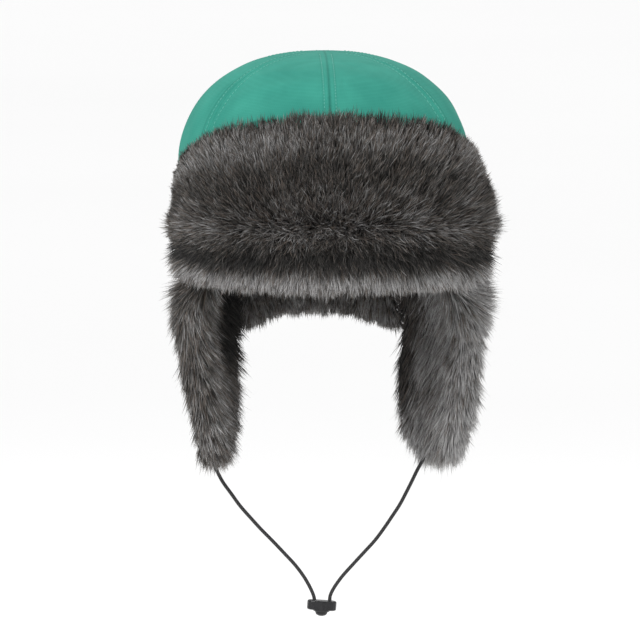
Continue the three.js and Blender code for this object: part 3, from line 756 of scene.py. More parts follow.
# Spun polyester thread, a shade lighter than the cloth.
thread, tree, shader = new_material("teal polyester thread")
coords = add_node(tree, "ShaderNodeTexCoord")
twist = add_node(tree, "ShaderNodeTexNoise", {"Vector": coords.outputs["Object"], "Scale": 900.0})
ramp = add_node(tree, "ShaderNodeValToRGB", {"Fac": twist}, stops=[(0, "#47A08F"), (1, "#74C2B1")])
tree.links.new(ramp.outputs["Color"], shader.inputs["Base Color"])
shader.inputs["Roughness"].default_value = 0.6


def new_tree(name, inputs):
    """An empty Geometry Nodes tree with named inputs: the tree and the sockets that give them."""
    made = bpy.data.node_groups.new(name, "GeometryNodeTree")
    made.interface.new_socket("Geometry", in_out="OUTPUT", socket_type="NodeSocketGeometry")
    for key, kind in inputs.items():
        made.interface.new_socket(key, in_out="INPUT", socket_type="NodeSocket" + kind)
    return made, add_node(made, "NodeGroupInput").outputs


stitching, given = new_tree(
    "row of stitches",
    {"Line": "Geometry", "Pitch": "Float", "Length": "Float", "Thickness": "Float", "Thread": "Material"},
)
line = add_node(stitching, "GeometryNodeMeshToCurve", {"Mesh": given["Line"]})
places = add_node(
    stitching, "GeometryNodeCurveToPoints", {"Curve": line, "Length": given["Pitch"]}, mode="LENGTH"
)
grain = add_node(stitching, "GeometryNodeMeshUVSphere", {"Segments": 5, "Rings": 4, "Radius": 0.5})
shape = add_node(
    stitching, "ShaderNodeCombineXYZ", {0: given["Thickness"], 1: given["Thickness"], 2: given["Length"]}
)
rows = add_node(
    stitching,
    "GeometryNodeInstanceOnPoints",
    {"Points": places, "Instance": grain, "Rotation": places.outputs["Rotation"], "Scale": shape},
)
whole = add_node(stitching, "GeometryNodeRealizeInstances", {"Geometry": rows})
finished = add_node(stitching, "GeometryNodeSetMaterial", {"Geometry": whole, "Material": given["Thread"]})
add_node(stitching, "NodeGroupOutput", {0: finished})


def grow(source, group, inputs, name):
    """Runs a node group on a piece, keeps the result as a plain mesh and removes the piece."""
    modifier = source.modifiers.new("grow", "NODES")
    modifier.node_group = group
    for item in group.interface.items_tree:
        if item.in_out == "INPUT" and item.name in inputs:
            modifier[item.identifier] = inputs[item.name]
    source.update_tag()
    depsgraph = bpy.context.evaluated_depsgraph_get()
    mesh = bpy.data.meshes.new_from_object(source.evaluated_get(depsgraph), depsgraph=depsgraph)
    made = bpy.data.objects.new(name, mesh)
    mesh.name = name
    bpy.context.scene.collection.objects.link(made)
    source.modifiers.remove(modifier)
    return made


def stitch_lines(name, lines):
    """Stitches along lines of points, in millimetres."""
    points, edges = [], []
    for run in lines:
        start = len(points)
        points += list(run)
        edges += [(start + k, start + k + 1) for k in range(len(run) - 1)]
    mesh = bpy.data.meshes.new(name + "_line")
    mesh.from_pydata((np.array(points) * MM).tolist(), edges, [])
    source = bpy.data.objects.new(name + "_line", mesh)
    bpy.context.scene.collection.objects.link(source)
    made = grow(
        source,
        stitching,
        {
            "Pitch": STITCH_PITCH * MM,
            "Length": STITCH_LENGTH * MM,
            "Thickness": STITCH_THICKNESS * MM,
            "Thread": thread,
        },
        name,
    )
    bpy.data.objects.remove(source)
    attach(made, "hat")
    return made


seam_lines = []
seam_heights = crown_heights(140)[:-8]
for seam in range(PANEL_COUNT):
    for hand in (-1, 1):
        half_width, half_depth = crown_halves(seam_heights)
        radius = (half_width + half_depth) / 2
        degrees = seam * 360 / PANEL_COUNT + hand * np.degrees(STITCH_OFFSET / radius)
        relief = crown_relief(degrees, seam_heights) + 0.12
        seam_lines.append(on_plan(half_width + relief, half_depth + relief, degrees, seam_heights + 0.1))
stitch_lines("crown_topstitching", seam_lines)

HEM = 5.0
FLAP_RADIUS = 104
hem_lines = []
for wing in EAR_SIDES:
    down = np.concatenate([np.linspace(0.03, 0.955, 60), np.full(20, 0.955), np.linspace(0.955, 0.03, 60)])
    width = read(EAR_ROWS, "down", "rear", down) - read(EAR_ROWS, "down", "front", down)
    across = HEM / (width * np.pi / 180 * FLAP_RADIUS)
    across[60:80] = np.linspace(across[59], 1 - across[59], 20)
    across[80:] = 1 - across[80:]
    z = -SEAM_GAP + (SEAM_GAP - EAR_LENGTH) * down
    hem_lines.append(ear_point(wing, down, across, 0.05, 0, z))
at = np.concatenate([np.full(20, -0.93), np.linspace(-0.93, 0.93, 80), np.full(20, 0.93)])
fall = np.concatenate([np.linspace(0.05, 0.86, 20), np.full(80, 0.86), np.linspace(0.86, 0.05, 20)])
hem_lines.append(neck_point(at, fall, 0.05))
stitch_lines("flap_topstitching", hem_lines)

# Faux fur
# Deep acrylic pile, knitted into a backing: dark crimped underfur with longer guard hairs that are light at
# their tips. Each hair is a curved, tapered blade, drawn about 0.5 mm wide, coarser than real, and hairs lean
# together in tufts.
FUR_COLUMNS = 64.0


def pile_blade():
    """One hair, one unit long and wide, with its place along and across it."""
    rows = [(0.0, 0.9, 0.0), (0.45, 1.0, 0.1), (0.8, 0.6, 0.34)]
    points, along_values, across_values = [], [], []
    for up, width, bow in rows:
        for hand in (-1, 1):
            points.append((hand * width / 2, bow, up))
            along_values.append(up)
            across_values.append(0.5 + 0.5 * hand)
    points.append((0.0, 0.55, 1.0))
    along_values.append(1.0)
    across_values.append(0.5)
    mesh = bpy.data.meshes.new("hair")
    mesh.from_pydata(points, [], [(0, 1, 3, 2), (2, 3, 5, 4), (4, 5, 6)], shade_flat=False)
    for name, values in (("along", along_values), ("across", across_values)):
        mesh.attributes.new(name, "FLOAT", "POINT").data.foreach_set("value", values)
    made = bpy.data.objects.new("hair", mesh)
    bpy.context.scene.collection.objects.link(made)
    return made


hair = pile_blade()

furring, given = new_tree(
    "fur",
    {
        "Backing": "Geometry",
        "Hair": "Object",
        "Density": "Float",
        "Width": "Float",
        "Tuft size": "Float",
        "Tuft pull": "Float",
        "Lock size": "Float",
        "Lock sway": "Float",
        "Stray": "Float",
        "Seed": "Int",
        "Fur": "Material",
    },
)
MATHS = "ShaderNodeMath"
VECTORS = "ShaderNodeVectorMath"
# What the backing and the hairs carry from point to point.
carried = {}
for name in ("cover", "ruffle", "comb", "pile", "tone", "hair_tone", "hair_pull", "along", "across"):
    kind = "FLOAT_VECTOR" if name in ("comb", "hair_pull") else "FLOAT"
    carried[name] = add_node(furring, "GeometryNodeInputNamedAttribute", {"Name": name}, data_type=kind)
# What differs by chance from hair to hair: the least, the most and the seed.
HAIR_CHANCES = {
    "pull": (0.5, 1.3, 11),
    "twirl": (-1.2, 1.2, 5),
    "guard": (0.0, 1.0, 7),
    "length": (0.62, 0.98, 8),
    "width": (0.7, 1.25, 9),
    "bow": (-0.26, 0.26, 10),
    "tone": (-0.34, 0.34, 12),
}
chance = {}
for name, (least, most, seed) in HAIR_CHANCES.items():
    chance[name] = add_node(
        furring, "FunctionNodeRandomValue", {2: least, 3: most, "Seed": seed}, data_type="FLOAT"
    ).outputs[1]

density = add_node(furring, MATHS, {0: given["Density"], 1: carried["cover"]}, operation="MULTIPLY")
roots = add_node(
    furring,
    "GeometryNodeDistributePointsOnFaces",
    {"Mesh": given["Backing"], "Density": density, "Seed": given["Seed"]},
)
place = add_node(furring, "GeometryNodeInputPosition")
# Every hair in one tuft leans to the tuft's middle, and the tufts of one lock sway together.
tufts_a_metre = add_node(furring, MATHS, {0: 1.0, 1: given["Tuft size"]}, operation="DIVIDE")
tuft = add_node(furring, "ShaderNodeTexVoronoi", {"Vector": place, "Scale": tufts_a_metre})
locks_a_metre = add_node(furring, MATHS, {0: 1.0, 1: given["Lock size"]}, operation="DIVIDE")
lock = add_node(furring, "ShaderNodeTexNoise", {"Vector": place, "Scale": locks_a_metre, "Detail": 1.5})
to_middle = add_node(furring, VECTORS, {0: tuft.outputs["Position"], 1: place}, operation="SUBTRACT")
pull_share = add_node(furring, MATHS, {0: given["Tuft pull"], 1: chance["pull"]}, operation="MULTIPLY")
pull = add_node(furring, VECTORS, {0: to_middle, "Scale": pull_share}, operation="SCALE")
sway = add_node(furring, VECTORS, {0: lock.outputs["Color"], 1: (0.5, 0.5, 0.5)}, operation="SUBTRACT")
sway = add_node(furring, VECTORS, {0: sway, "Scale": given["Lock sway"]}, operation="SCALE")
stray = add_node(
    furring,
    "FunctionNodeRandomValue",
    {0: (-1, -1, -1), 1: (1, 1, 1), "Seed": 3},
    data_type="FLOAT_VECTOR",
)
stray_share = add_node(furring, MATHS, {0: given["Stray"], 1: carried["ruffle"]}, operation="MULTIPLY")
stray = add_node(furring, VECTORS, {0: stray, "Scale": stray_share}, operation="SCALE")
tuft_lean = add_node(furring, VECTORS, {0: tuft.outputs["Color"], 1: (0.5, 0.5, 0.5)}, operation="SUBTRACT")
tuft_lean = add_node(furring, VECTORS, {0: tuft_lean, "Scale": 0.45}, operation="SCALE")
heading = add_node(furring, VECTORS, {0: sway, 1: stray}, operation="ADD")
heading = add_node(furring, VECTORS, {0: carried["comb"], 1: heading}, operation="ADD")
heading = add_node(furring, VECTORS, {0: heading, 1: tuft_lean}, operation="ADD")
heading = add_node(furring, VECTORS, {0: heading}, operation="NORMALIZE")
facing = add_node(
    furring,
    "FunctionNodeAxesToRotation",
    {"Primary Axis": heading, "Secondary Axis": roots.outputs["Normal"]},
    primary_axis="Z",
    secondary_axis="Y",
)
twirl = add_node(furring, "FunctionNodeAxisAngleToRotation", {"Axis": (0, 0, 1), "Angle": chance["twirl"]})
turned = add_node(
    furring, "FunctionNodeRotateRotation", {"Rotation": facing, "Rotate By": twirl}, rotation_space="LOCAL"
)
# Most hairs are underfur. A few are long guard hairs.
guard = add_node(furring, MATHS, {0: chance["guard"], 1: 5.0}, operation="POWER")
tuft_grey = add_node(furring, "ShaderNodeSeparateXYZ", {0: tuft.outputs["Color"]})
share = add_node(furring, MATHS, {0: guard, 1: 0.3}, operation="MULTIPLY")
share = add_node(furring, MATHS, {0: chance["length"], 1: share}, operation="ADD")
tuft_share = add_node(furring, MATHS, {0: tuft_grey.outputs[1], 1: 0.16}, operation="MULTIPLY")
share = add_node(furring, MATHS, {0: share, 1: tuft_share}, operation="ADD")
length = add_node(furring, MATHS, {0: carried["pile"], 1: share}, operation="MULTIPLY")
width = add_node(furring, MATHS, {0: given["Width"], 1: chance["width"]}, operation="MULTIPLY")
bow = add_node(furring, MATHS, {0: length, 1: chance["bow"]}, operation="MULTIPLY")
size = add_node(furring, "ShaderNodeCombineXYZ", {0: width, 1: bow, 2: length})
# Tone 0 is the darkest hair and tone 1 the one with the lightest tip.
tone = add_node(furring, MATHS, {0: carried["tone"], 1: chance["tone"]}, operation="ADD")
by_tuft = add_node(furring, MATHS, {0: tuft_grey, 1: 0.3, 2: -0.15}, operation="MULTIPLY_ADD")
tone = add_node(furring, MATHS, {0: tone, 1: by_tuft}, operation="ADD")
patch = add_node(furring, "ShaderNodeTexNoise", {"Vector": place, "Scale": 34.0, "Detail": 2.0})
by_patch = add_node(furring, MATHS, {0: patch, 1: 0.5, 2: -0.25}, operation="MULTIPLY_ADD")
tone = add_node(furring, MATHS, {0: tone, 1: by_patch}, operation="ADD")
tone = add_node(furring, "ShaderNodeClamp", {"Value": tone, "Min": 0.0, "Max": 0.999})
kept = roots
for name, value, kind in (("hair_tone", tone, "FLOAT"), ("hair_pull", pull, "FLOAT_VECTOR")):
    kept = add_node(
        furring,
        "GeometryNodeStoreNamedAttribute",
        {"Geometry": kept, "Name": name, "Value": value},
        data_type=kind,
        domain="POINT",
    )
strands = add_node(furring, "GeometryNodeObjectInfo", {"Object": given["Hair"]})
planted = add_node(
    furring,
    "GeometryNodeInstanceOnPoints",
    {"Points": kept, "Instance": strands.outputs["Geometry"], "Rotation": turned, "Scale": size},
)
whole = add_node(furring, "GeometryNodeRealizeInstances", {"Geometry": planted})
bend_share = add_node(furring, MATHS, {0: carried["along"], 1: 1.4}, operation="POWER")
bend = add_node(furring, VECTORS, {0: carried["hair_pull"], "Scale": bend_share}, operation="SCALE")
bent = add_node(furring, "GeometryNodeSetPosition", {"Geometry": whole, "Offset": bend})
# Colours are laid out in columns by tone, root to tip.
column = add_node(furring, MATHS, {0: carried["hair_tone"], 1: FUR_COLUMNS}, operation="MULTIPLY")
column = add_node(furring, MATHS, {0: column}, operation="FLOOR")
in_column = add_node(furring, MATHS, {0: carried["across"], 1: 0.8, 2: 0.1}, operation="MULTIPLY_ADD")
column = add_node(furring, MATHS, {0: column, 1: in_column}, operation="ADD")
column = add_node(furring, MATHS, {0: column, 1: FUR_COLUMNS}, operation="DIVIDE")
layout = add_node(furring, "ShaderNodeCombineXYZ", {0: column, 1: carried["along"]})
mapped = add_node(
    furring,
    "GeometryNodeStoreNamedAttribute",
    {"Geometry": bent, "Name": "OFBake", "Value": layout},
    data_type="FLOAT2",
    domain="CORNER",
)
finished = add_node(furring, "GeometryNodeSetMaterial", {"Geometry": mapped, "Material": given["Fur"]})
add_node(furring, "NodeGroupOutput", {0: finished})

# Dyed acrylic hair: nearly black at the root, a grey or brown shaft and a lighter tip, with a soft gloss. The
# columns of its map run from the darkest hair to the lightest.
acrylic, tree, shader = new_material("acrylic faux fur")
HAIR_COLOURS = [
    {"tone": 0.0, "shaft": "#201F1F", "tip": "#302F2E"},
    {"tone": 0.25, "shaft": "#353432", "tip": "#52504D"},
    {"tone": 0.4, "shaft": "#494744", "tip": "#716E6B"},
    {"tone": 0.52, "shaft": "#584E46", "tip": "#83776D"},
    {"tone": 0.7, "shaft": "#6A6968", "tip": "#9E9D9C"},
    {"tone": 1.0, "shaft": "#929190", "tip": "#D0CFCF"},
]
layout = add_node(tree, "ShaderNodeUVMap", uv_map="OFBake")
parts = add_node(tree, "ShaderNodeSeparateXYZ", {0: layout})
shaft, tips = [
    add_node(
        tree, "ShaderNodeValToRGB", {"Fac": parts}, stops=[(row["tone"], row[place]) for row in HAIR_COLOURS]
    )
    for place in ("shaft", "tip")
]
rooted = add_node(tree, "ShaderNodeMapRange", {"Value": parts.outputs[1], 1: 0.0, 2: 0.55})
tipped = add_node(tree, "ShaderNodeMapRange", {"Value": parts.outputs[1], 1: 0.5, 2: 1.0})
lower = add_node(tree, "ShaderNodeMix", {0: rooted, 6: to_linear("#1A1716"), 7: shaft}, data_type="RGBA")
upper = add_node(tree, "ShaderNodeMix", {0: tipped, 6: lower.outputs[2], 7: tips}, data_type="RGBA")
tree.links.new(upper.outputs[2], shader.inputs["Base Color"])
shader.inputs["Roughness"].default_value = 0.55
shader.inputs["Specular IOR Level"].default_value = 0.35

# Crimped acrylic underfur: short, dense and dark, with streaks that follow no one direction.
underfur, tree, shader = new_material("acrylic underfur")
coords = add_node(tree, "ShaderNodeTexCoord")
fuzz = add_node(
    tree,
    "ShaderNodeTexNoise",
    {"Vector": coords.outputs["Object"], "Scale": 900.0, "Detail": 3.0, "Roughness": 0.7},
)
ramp = add_node(tree, "ShaderNodeValToRGB", {"Fac": fuzz}, stops=[(0, "#141211"), (1, "#3A332F")])
fuzz_bump = add_node(tree, "ShaderNodeBump", {"Height": fuzz, "Strength": 0.9, "Distance": 0.001})
tree.links.new(ramp.outputs["Color"], shader.inputs["Base Color"])
tree.links.new(fuzz_bump.outputs["Normal"], shader.inputs["Normal"])
shader.inputs["Roughness"].default_value = 0.9


def backing_sleeve(name, outer, back):
    """A closed backing between the side that carries hair and the side that doesn't. Also gives each point's
    place across the backing, from 0 to 1, and whether it is on the hair's side."""
    stations, count, _ = outer.shape
    loops = np.concatenate([outer, back[:, ::-1]], axis=1)
    made = mesh_of(name, *closed_sleeve(loops), [underfur])
    share = np.linspace(0, 1, count)
    across = np.tile(np.concatenate([share, share[::-1]]), stations)
    on_front = np.tile(np.repeat([1.0, 0.0], count), stations)
    return made, across, on_front


def normals_of(obj):
    """The direction out of the piece at each point."""
    flat = np.zeros(len(obj.data.vertices) * 3, np.float32)
    obj.data.vertex_normals.foreach_get("vector", flat)
    return flat.reshape(-1, 3)


def set_field(obj, name, values):
    """Stores one number or vector for each point."""
    vector = np.ndim(values) == 2
    made = obj.data.attributes.new(name, "FLOAT_VECTOR" if vector else "FLOAT", "POINT")
    made.data.foreach_set("vector" if vector else "value", np.asarray(values, np.float32).ravel())


def unit(vectors):
    """Vectors brought to a length of one."""
    return vectors / np.maximum(np.linalg.norm(vectors, axis=-1, keepdims=True), 1e-9)


def area_of(obj):
    """The area that carries hair, in square metres."""
    cover = np.zeros(len(obj.data.vertices), np.float32)
    obj.data.attributes["cover"].data.foreach_get("value", cover)
    return sum(p.area * float(np.mean(cover[list(p.vertices)])) for p in obj.data.polygons)


def plant(backing, name, hairs, lie):
    """Plants hairs on a backing, in millimetres, and says how they ride."""
    inputs = {**hairs, **lie, "Hair": hair, "Fur": acrylic}
    inputs["Density"] = inputs.pop("Hairs") / area_of(backing)
    for key in ("Width", "Tuft size", "Lock size"):
        inputs[key] *= MM
    made = grow(backing, furring, inputs, name)
    for attribute in list(made.data.attributes):
        if attribute.name in carried:
            made.data.attributes.remove(attribute)
    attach(made, "hat")
    return made


def ramped(values, start, end):
    """Shares that go from 0 to 1 as the values go from start to end."""
    return np.clip((values - start) / (end - start), 0, 1)


FUR_GAP = 0.4
HAIRS_A_PIECE = 38000

# Visor fur
# The acrylic fur facing of the visor, sewn on round its edge. It starts at the visor's lower edge, bulges
# out in front and turns over the top edge. The hair parts a little below the middle: it is combed up above
# that and down below it. Along the lower edge it is light, partly from its light tips and partly as painted
# light, and painted shade darkens it under that edge and in a band above it.
VISOR_PILE = 23
VISOR_OVERLAP = 0.9
VISOR_STATIONS, VISOR_ROWS_A_SIDE = 57, 26
# The backing and underfur take this share of the pile, and the hairs the rest.
BACKING_SHARE = 0.48
VISOR_HAIR = 17.5
# The section of the fur: how far out it stands and how far up it is, as shares.
VISOR_SECTION = [
    (0.1, 0.0), (0.5, 0.0), (0.8, 0.09), (0.97, 0.25), (1.0, 0.42),
    (0.95, 0.6), (0.82, 0.77), (0.6, 0.91), (0.32, 0.98), (0.1, 1.0),
]  # fmt: skip
# Along the section, from the back of the lower edge (0) over the front to the top (1): the hair's angle
# above the horizon, the share of the pile, how light the hair is and how far it fans out to the sides. The
# tones hold painted shade under the lower edge (0 to 0.07) and in the dark band above it (about 0.23), and
# the light lower edge (about 0.13) is partly the light tips and partly painted light.
VISOR_COMB = [
    {"at": 0.0, "angle": -86, "pile": 0.5, "tone": 0.36, "fan": 0.1},
    {"at": 0.07, "angle": -84, "pile": 0.85, "tone": 0.7, "fan": 0.2},
    {"at": 0.13, "angle": -77, "pile": 0.95, "tone": 1.06, "fan": 0.5},
    {"at": 0.18, "angle": -68, "pile": 1.0, "tone": 0.5, "fan": 0.8},
    {"at": 0.23, "angle": -58, "pile": 1.0, "tone": -0.06, "fan": 1.0},
    {"at": 0.29, "angle": -42, "pile": 1.0, "tone": 0.14, "fan": 1.1},
    {"at": 0.35, "angle": -16, "pile": 0.85, "tone": 0.6, "fan": 1.0},
    {"at": 0.4, "angle": 24, "pile": 0.9, "tone": 0.52, "fan": 0.9},
    {"at": 0.47, "angle": 42, "pile": 1.0, "tone": 0.4, "fan": 0.5},
    {"at": 0.62, "angle": 57, "pile": 0.95, "tone": 0.3, "fan": 0.1},
    {"at": 0.82, "angle": 68, "pile": 0.85, "tone": 0.6, "fan": 0.0},
    {"at": 0.92, "angle": 74, "pile": 0.74, "tone": 0.42, "fan": 0.0},
    {"at": 1.0, "angle": 82, "pile": 0.82, "tone": -0.05, "fan": 0.0},
]
# The fur is made in two halves: from where to where each goes, and how much shorter its hair is at the upper
# corner, between two places up the section.
VISOR_PARTS = [
    {"hand": "left", "first": -79.5, "last": 1.5, "shorter": 0.4, "from": 0.42, "to": 0.64, "seed": 101},
    {"hand": "right", "first": -1.5, "last": 82.5, "shorter": 0.5, "from": 0.58, "to": 0.83, "seed": 202},
]
for part in VISOR_PARTS:
    outer, back = [], []
    stations = np.linspace(part["first"], part["last"], VISOR_STATIONS)
    for degrees in stations:
        share = degrees / VISOR_HALF_ANGLE
        beyond = max(0.0, (abs(degrees) - VISOR_HALF_ANGLE) / 7.5)
        top_of_shell = float(visor_top(degrees))
        pile = VISOR_PILE * float(read(VISOR_ROWS, "at", "pile", share)) * (1 - 0.55 * beyond**2)
        top = (top_of_shell + VISOR_OVERLAP) * (1 - 0.12 * beyond**2)
        bottom = 2.0 + 8 * beyond**2
        face = VISOR_THICKNESS + FUR_GAP
        # The backing thins towards its left end, so that the hair makes the outline.
        filled = BACKING_SHARE * (1 - 0.75 * ramped(-share, 0.8, 1))
        rough = [
            visor_point(degrees, bottom + (top - bottom) * up, face + max(pile * out * filled, 0.4))
            for out, up in VISOR_SECTION
        ]
        rough.append(visor_point(degrees, top - 0.5, VISOR_THICKNESS / 2))
        outer.append(evenly(smooth_path(rough, 6), VISOR_ROWS_A_SIDE)[0])
        lip = min(top_of_shell + FUR_GAP, top - 1.2)
        behind = [visor_point(degrees, z, face) for z in np.linspace(bottom + 0.3, lip, 12)]
        behind.append(visor_point(degrees, lip, VISOR_THICKNESS / 2 + 0.6))
        back.append(evenly(behind, VISOR_ROWS_A_SIDE)[0])
    backing, up_section, on_front = backing_sleeve(
        f"visor_underfur_{part['hand']}", np.array(outer), np.array(back)
    )
    degrees = np.repeat(stations, 2 * VISOR_ROWS_A_SIDE)
    to_side = np.abs(degrees)
    turn = np.radians(degrees)
    outwards = unit(np.stack([np.sin(turn) * 1.18, -np.cos(turn), np.zeros_like(turn)], axis=1))
    sideways = np.stack([np.cos(turn), np.sin(turn), np.zeros_like(turn)], axis=1)
    # At the lower end corners the fringe is longer and hangs over the ear flaps, and above them the hair
    # leans outwards.
    low_corner = ramped(to_side, 50, 68) * ramped(up_section, 0.27, 0.17)
    ends = ramped(to_side, 58, 76) * ramped(up_section, 0.45, 0.6)
    angle = np.radians(read(VISOR_COMB, "at", "angle", up_section) + 16 * low_corner - 32 * ends)
    spread = (np.sign(degrees) * (to_side / 80) ** 2)[:, None]
    fan = read(VISOR_COMB, "at", "fan", up_section)[:, None]
    corner = ramped(to_side, 46, 72) * ramped(up_section, part["from"], part["to"])
    comb = (
        np.cos(angle)[:, None] * outwards
        + np.sin(angle)[:, None] * np.array([0, 0, 1.0])
        + 0.55 * spread * fan * sideways
        + (corner * 0.15)[:, None] * np.array([0, 0, 1.0])
    )
    hair_share = 0.45 + 0.55 * read(VISOR_ROWS, "at", "pile", degrees / VISOR_HALF_ANGLE)
    hair_share = hair_share * (1 - corner * part["shorter"])
    hair_share = hair_share * (1 - 0.6 * ramped(-degrees, 66, 76) * ramped(up_section, 0.82, 0.92))
    # Where the lie turns, the hair at the ends stands out in points.
    flick = ramped(to_side, 58, 76) * np.exp(-(((up_section - 0.4) / 0.05) ** 2))
    hair_share = hair_share + np.where(degrees < 0, 0.25, 0.4) * flick + 0.4 * low_corner
    # Painted light: the upper hair is made lighter on the left and a little darker on the right, as if lit
    # from the left.
    painted_side_light = 0.14 * np.clip(-degrees / 60, -0.3, 1) * ramped(up_section, 0.5, 0.8)
    # No hair grows where the two halves meet inside the fur.
    meets = np.abs(degrees - (part["last"] if part["hand"] == "left" else part["first"])) < 0.1
    denser = 1 + 0.7 * np.exp(-(((up_section - 0.34) / 0.07) ** 2))
    set_field(backing, "comb", unit(comb))
    set_field(backing, "pile", VISOR_HAIR * MM * read(VISOR_COMB, "at", "pile", up_section) * hair_share)
    set_field(backing, "tone", read(VISOR_COMB, "at", "tone", up_section) + painted_side_light)
    set_field(backing, "cover", on_front * ~meets * denser)
    set_field(backing, "ruffle", 1 + 1.7 * np.exp(-(((up_section - 0.32) / 0.1) ** 2)))
    plant(
        backing,
        f"visor_fur_{part['hand']}",
        {"Hairs": HAIRS_A_PIECE, "Width": 0.48, "Seed": part["seed"]},
        {"Tuft size": 5.0, "Tuft pull": 0.32, "Lock size": 26.0, "Lock sway": 0.5, "Stray": 0.28},
    )
    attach(backing, "hat")
    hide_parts("visor_fur")

# Ear flap fur
# The same acrylic fur, sewn to the inner side of each ear flap. It wraps past the front and rear edges and
# hangs below the tip, and its hair is combed down.
EAR_PILE = 27
EAR_EDGE = 8
EAR_HAIR = 21.0
EAR_STATIONS, EAR_ROWS_A_SIDE = 50, 34
# How each flap's hair differs: how light it is, where the fold towards the face starts to shade it and how
# far down that goes, how far its front edge flares out and how much it is swept towards the face.
EAR_LOOKS = [
    {"tone": 0.5, "shade_from": 0.5, "shade_end": 0.54, "flare": 0.75, "sweep": 0.16, "seed": 303},
    {"tone": 0.9, "shade_from": 0.66, "shade_end": 0.84, "flare": 1.2, "sweep": -0.12, "seed": 404},
]
per_degree = CROWN_WIDTH / 2 * np.pi / 180
# How far the backing reaches past the edges of the cloth outside and under the hair, in degrees.
past_fur, past_shell = 0.42 * EAR_EDGE / per_degree, 0.9 / per_degree
under = -EAR_THICKNESS - FUR_GAP
for wing, look in zip(EAR_SIDES, EAR_LOOKS):
    outer, back = [], []
    stations = np.linspace(0, 0.995, EAR_STATIONS)
    for down in stations:
        z = -SEAM_GAP - 0.3 + (SEAM_GAP - EAR_LENGTH - 2) * down
        pile = EAR_PILE * float(read(EAR_ROWS, "down", "pile", down))
        proud = 2.4 * min(1, 0.4 + 4 * down) * (1 - 0.8 * down**3)
        share = np.linspace(0, 1, 16)
        thick = 0.45 * pile * (0.3 + 0.7 * (1 - np.abs(2 * share - 1) ** 3) ** 0.5)
        # Round the section from the outer face past the front edge, over the inner face and back: the place
        # across the flap and the distance out.
        section = [(0.1, 0.8), (0.03, proud), *zip(share, under - thick), (0.97, proud), (0.9, 0.8)]
        rough = [ear_point(wing, down, s, out, past_fur, z) for s, out in section]
        outer.append(evenly(smooth_path(rough, 4), EAR_ROWS_A_SIDE)[0])
        behind = [ear_point(wing, down, 0.1, 0.5, past_fur, z), ear_point(wing, down, 0, 0.5, past_shell, z)]
        behind += [
            ear_point(wing, down, s, under, past_shell, z) for s in (0, *np.linspace(0.05, 0.95, 14), 1)
        ]
        behind += [ear_point(wing, down, 1, 0.5, past_shell, z), ear_point(wing, down, 0.9, 0.5, past_fur, z)]
        back.append(evenly(behind, EAR_ROWS_A_SIDE)[0])
    backing, across, on_front = backing_sleeve(
        f"ear_underfur_{wing['name']}", np.array(outer), np.array(back)
    )
    point_outwards(backing)
    down = np.repeat(stations, 2 * EAR_ROWS_A_SIDE)
    out_of = normals_of(backing)
    inwards = np.zeros_like(out_of)
    inwards[:, 0] = -wing["side"]
    edge = np.abs(2 * across - 1) ** 4
    # Under the visor the hair of the front edge flares out over the cloth.
    flared = ramped(down, 0.28, 0) * ramped(across, 0.3, 0) * look["flare"]
    comb = 0.34 * out_of + np.array([0, 0, -1.0]) + look["sweep"] * inwards - 0.1 * edge[:, None] * out_of
    comb = comb + flared[:, None] * (np.array([0, -0.1, 0.2]) - inwards)
    comb = comb + [0, 0, 1.0] * flared[:, None] ** 2
    comb = np.where((down > 0.9)[:, None], comb + [0, 0, -0.5], comb)
    hair_share = 0.55 + 0.45 * read(EAR_ROWS, "down", "pile", down)
    hair_share = np.where(down > 0.9, 0.95, hair_share) + 0.25 * flared
    inner_side = ramped(across, look["shade_from"], look["shade_from"] + 0.12)
    shade = 0.6 * inner_side * ramped(down, look["shade_end"], look["shade_end"] - 0.15)
    set_field(backing, "comb", unit(comb))
    set_field(backing, "pile", MM * hair_share * (EAR_HAIR - 6.0 * edge * (1 - flared)))
    set_field(backing, "tone", look["tone"] + 0.06 * down**2 - shade)
    set_field(backing, "cover", on_front * (down > 0.005) * (1 + 2.5 * np.clip(flared, 0, 1)))
    set_field(backing, "ruffle", np.ones_like(down))
    plant(
        backing,
        f"ear_fur_{wing['name']}_pile",
        {"Hairs": int(HAIRS_A_PIECE * 0.86), "Width": 0.48, "Seed": look["seed"]},
        {"Tuft size": 4.6, "Tuft pull": 0.26, "Lock size": 24.0, "Lock sway": 0.3, "Stray": 0.17},
    )
    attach(backing, "hat")
    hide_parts(f"ear_fur_{wing['name']}")

# Neck flap fur
# The same acrylic fur, sewn to the inner side of the neck flap. Its hair hangs below the flap's edge as a
# fringe.
NECK_PILE = 21
NECK_HAIR = 15.0
NECK_STATIONS, NECK_ROWS_A_SIDE = 50, 22
outer, back = [], []
stations = np.linspace(-1, 1, NECK_STATIONS)
under = -NECK_THICKNESS - FUR_GAP
for at in stations:
    falls = np.linspace(0.02, 1, 12)
    thick = 0.5 * NECK_PILE * (0.2 + 0.8 * (1 - falls**3) ** 0.5 * (1 - 0.4 * abs(at) ** 4))
    rough = [neck_point(at, fall, under - t, 1.2, 3.0) for fall, t in zip(falls, thick)]
    rough.append(neck_point(at, 1.0, -NECK_THICKNESS / 2, 1.2, 3.4))
    outer.append(evenly(smooth_path(rough, 4), NECK_ROWS_A_SIDE)[0])
    behind = [neck_point(at, fall, under, 1.2, 0.9) for fall in falls]
    behind.append(neck_point(at, 1.0, -NECK_THICKNESS / 2, 1.2, 0.9))
    back.append(evenly(behind, NECK_ROWS_A_SIDE)[0])
backing, fall, on_front = backing_sleeve("neck_underfur", np.array(outer), np.array(back))
point_outwards(backing)
sideways = (coords_of(backing)[:, :1] / 60) ** 3
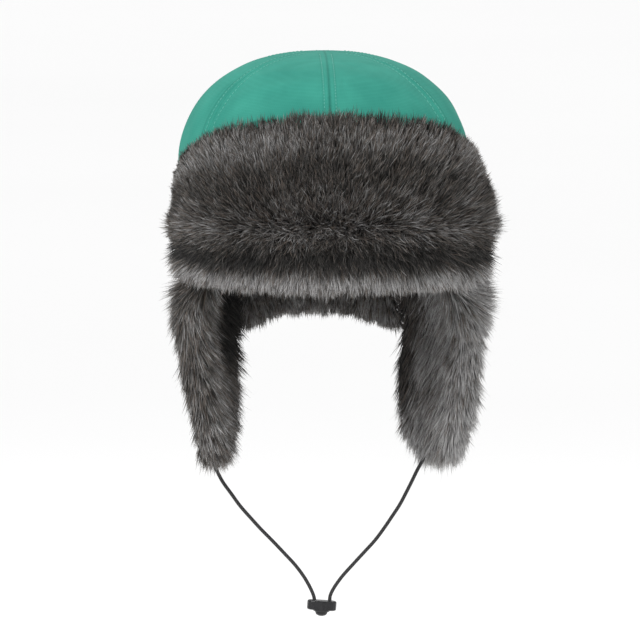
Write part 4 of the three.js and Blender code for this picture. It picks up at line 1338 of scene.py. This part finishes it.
comb = 0.55 * normals_of(backing) + np.array([0, -0.15, -0.9]) + 0.7 * sideways * [1.0, 0, 0.3]
set_field(backing, "comb", unit(comb))
set_field(backing, "pile", MM * (NECK_HAIR - 4.0 * fall))
set_field(backing, "tone", 0.5 + 0.2 * fall)
set_field(backing, "cover", on_front * (fall > 0.02))
set_field(backing, "ruffle", np.ones_like(fall))
plant(
    backing,
    "neck_fur_pile",
    {"Hairs": int(HAIRS_A_PIECE * 0.42), "Width": 0.56, "Seed": 505},
    {"Tuft size": 6.0, "Tuft pull": 0.5, "Lock size": 20.0, "Lock sway": 0.4, "Stray": 0.2},
)
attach(backing, "hat")
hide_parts("neck_fur")
bpy.data.objects.remove(hair)

# Cord lock
# Two moulded pieces of black acetal: a barrel with two wings that the cord goes through, and a domed button
# in it, pushed down by a spring. A thumb on the button frees the cord.

# Injection-moulded acetal with a fine spark-eroded grain, drawn at about 0.25 mm, a little shinier where
# fingers rub it.
acetal, tree, shader = new_material("moulded acetal")
GRAIN_SIZE = 0.25
coords = add_node(tree, "ShaderNodeTexCoord")
grain, rubbed = [
    add_node(tree, "ShaderNodeTexNoise", {"Vector": coords.outputs["Object"], "Scale": scale, "Detail": 2.0})
    for scale in (1 / (GRAIN_SIZE * MM), 180.0)
]
ramp = add_node(tree, "ShaderNodeValToRGB", {"Fac": rubbed}, stops=[(0, "#101011"), (1, "#2A2A2C")])
gloss = add_node(tree, "ShaderNodeMapRange", {"Value": rubbed, 3: 0.2, 4: 0.36})
grain_bump = add_node(tree, "ShaderNodeBump", {"Height": grain, "Strength": 0.5, "Distance": 0.00012})
tree.links.new(ramp.outputs["Color"], shader.inputs["Base Color"])
tree.links.new(gloss.outputs[0], shader.inputs["Roughness"])
tree.links.new(grain_bump.outputs["Normal"], shader.inputs["Normal"])
shader.inputs["Specular IOR Level"].default_value = 0.35
for name in ("cord_lock_body", "cord_lock_button"):
    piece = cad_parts[name]
    piece.data.materials.clear()
    piece.data.materials.append(acetal)
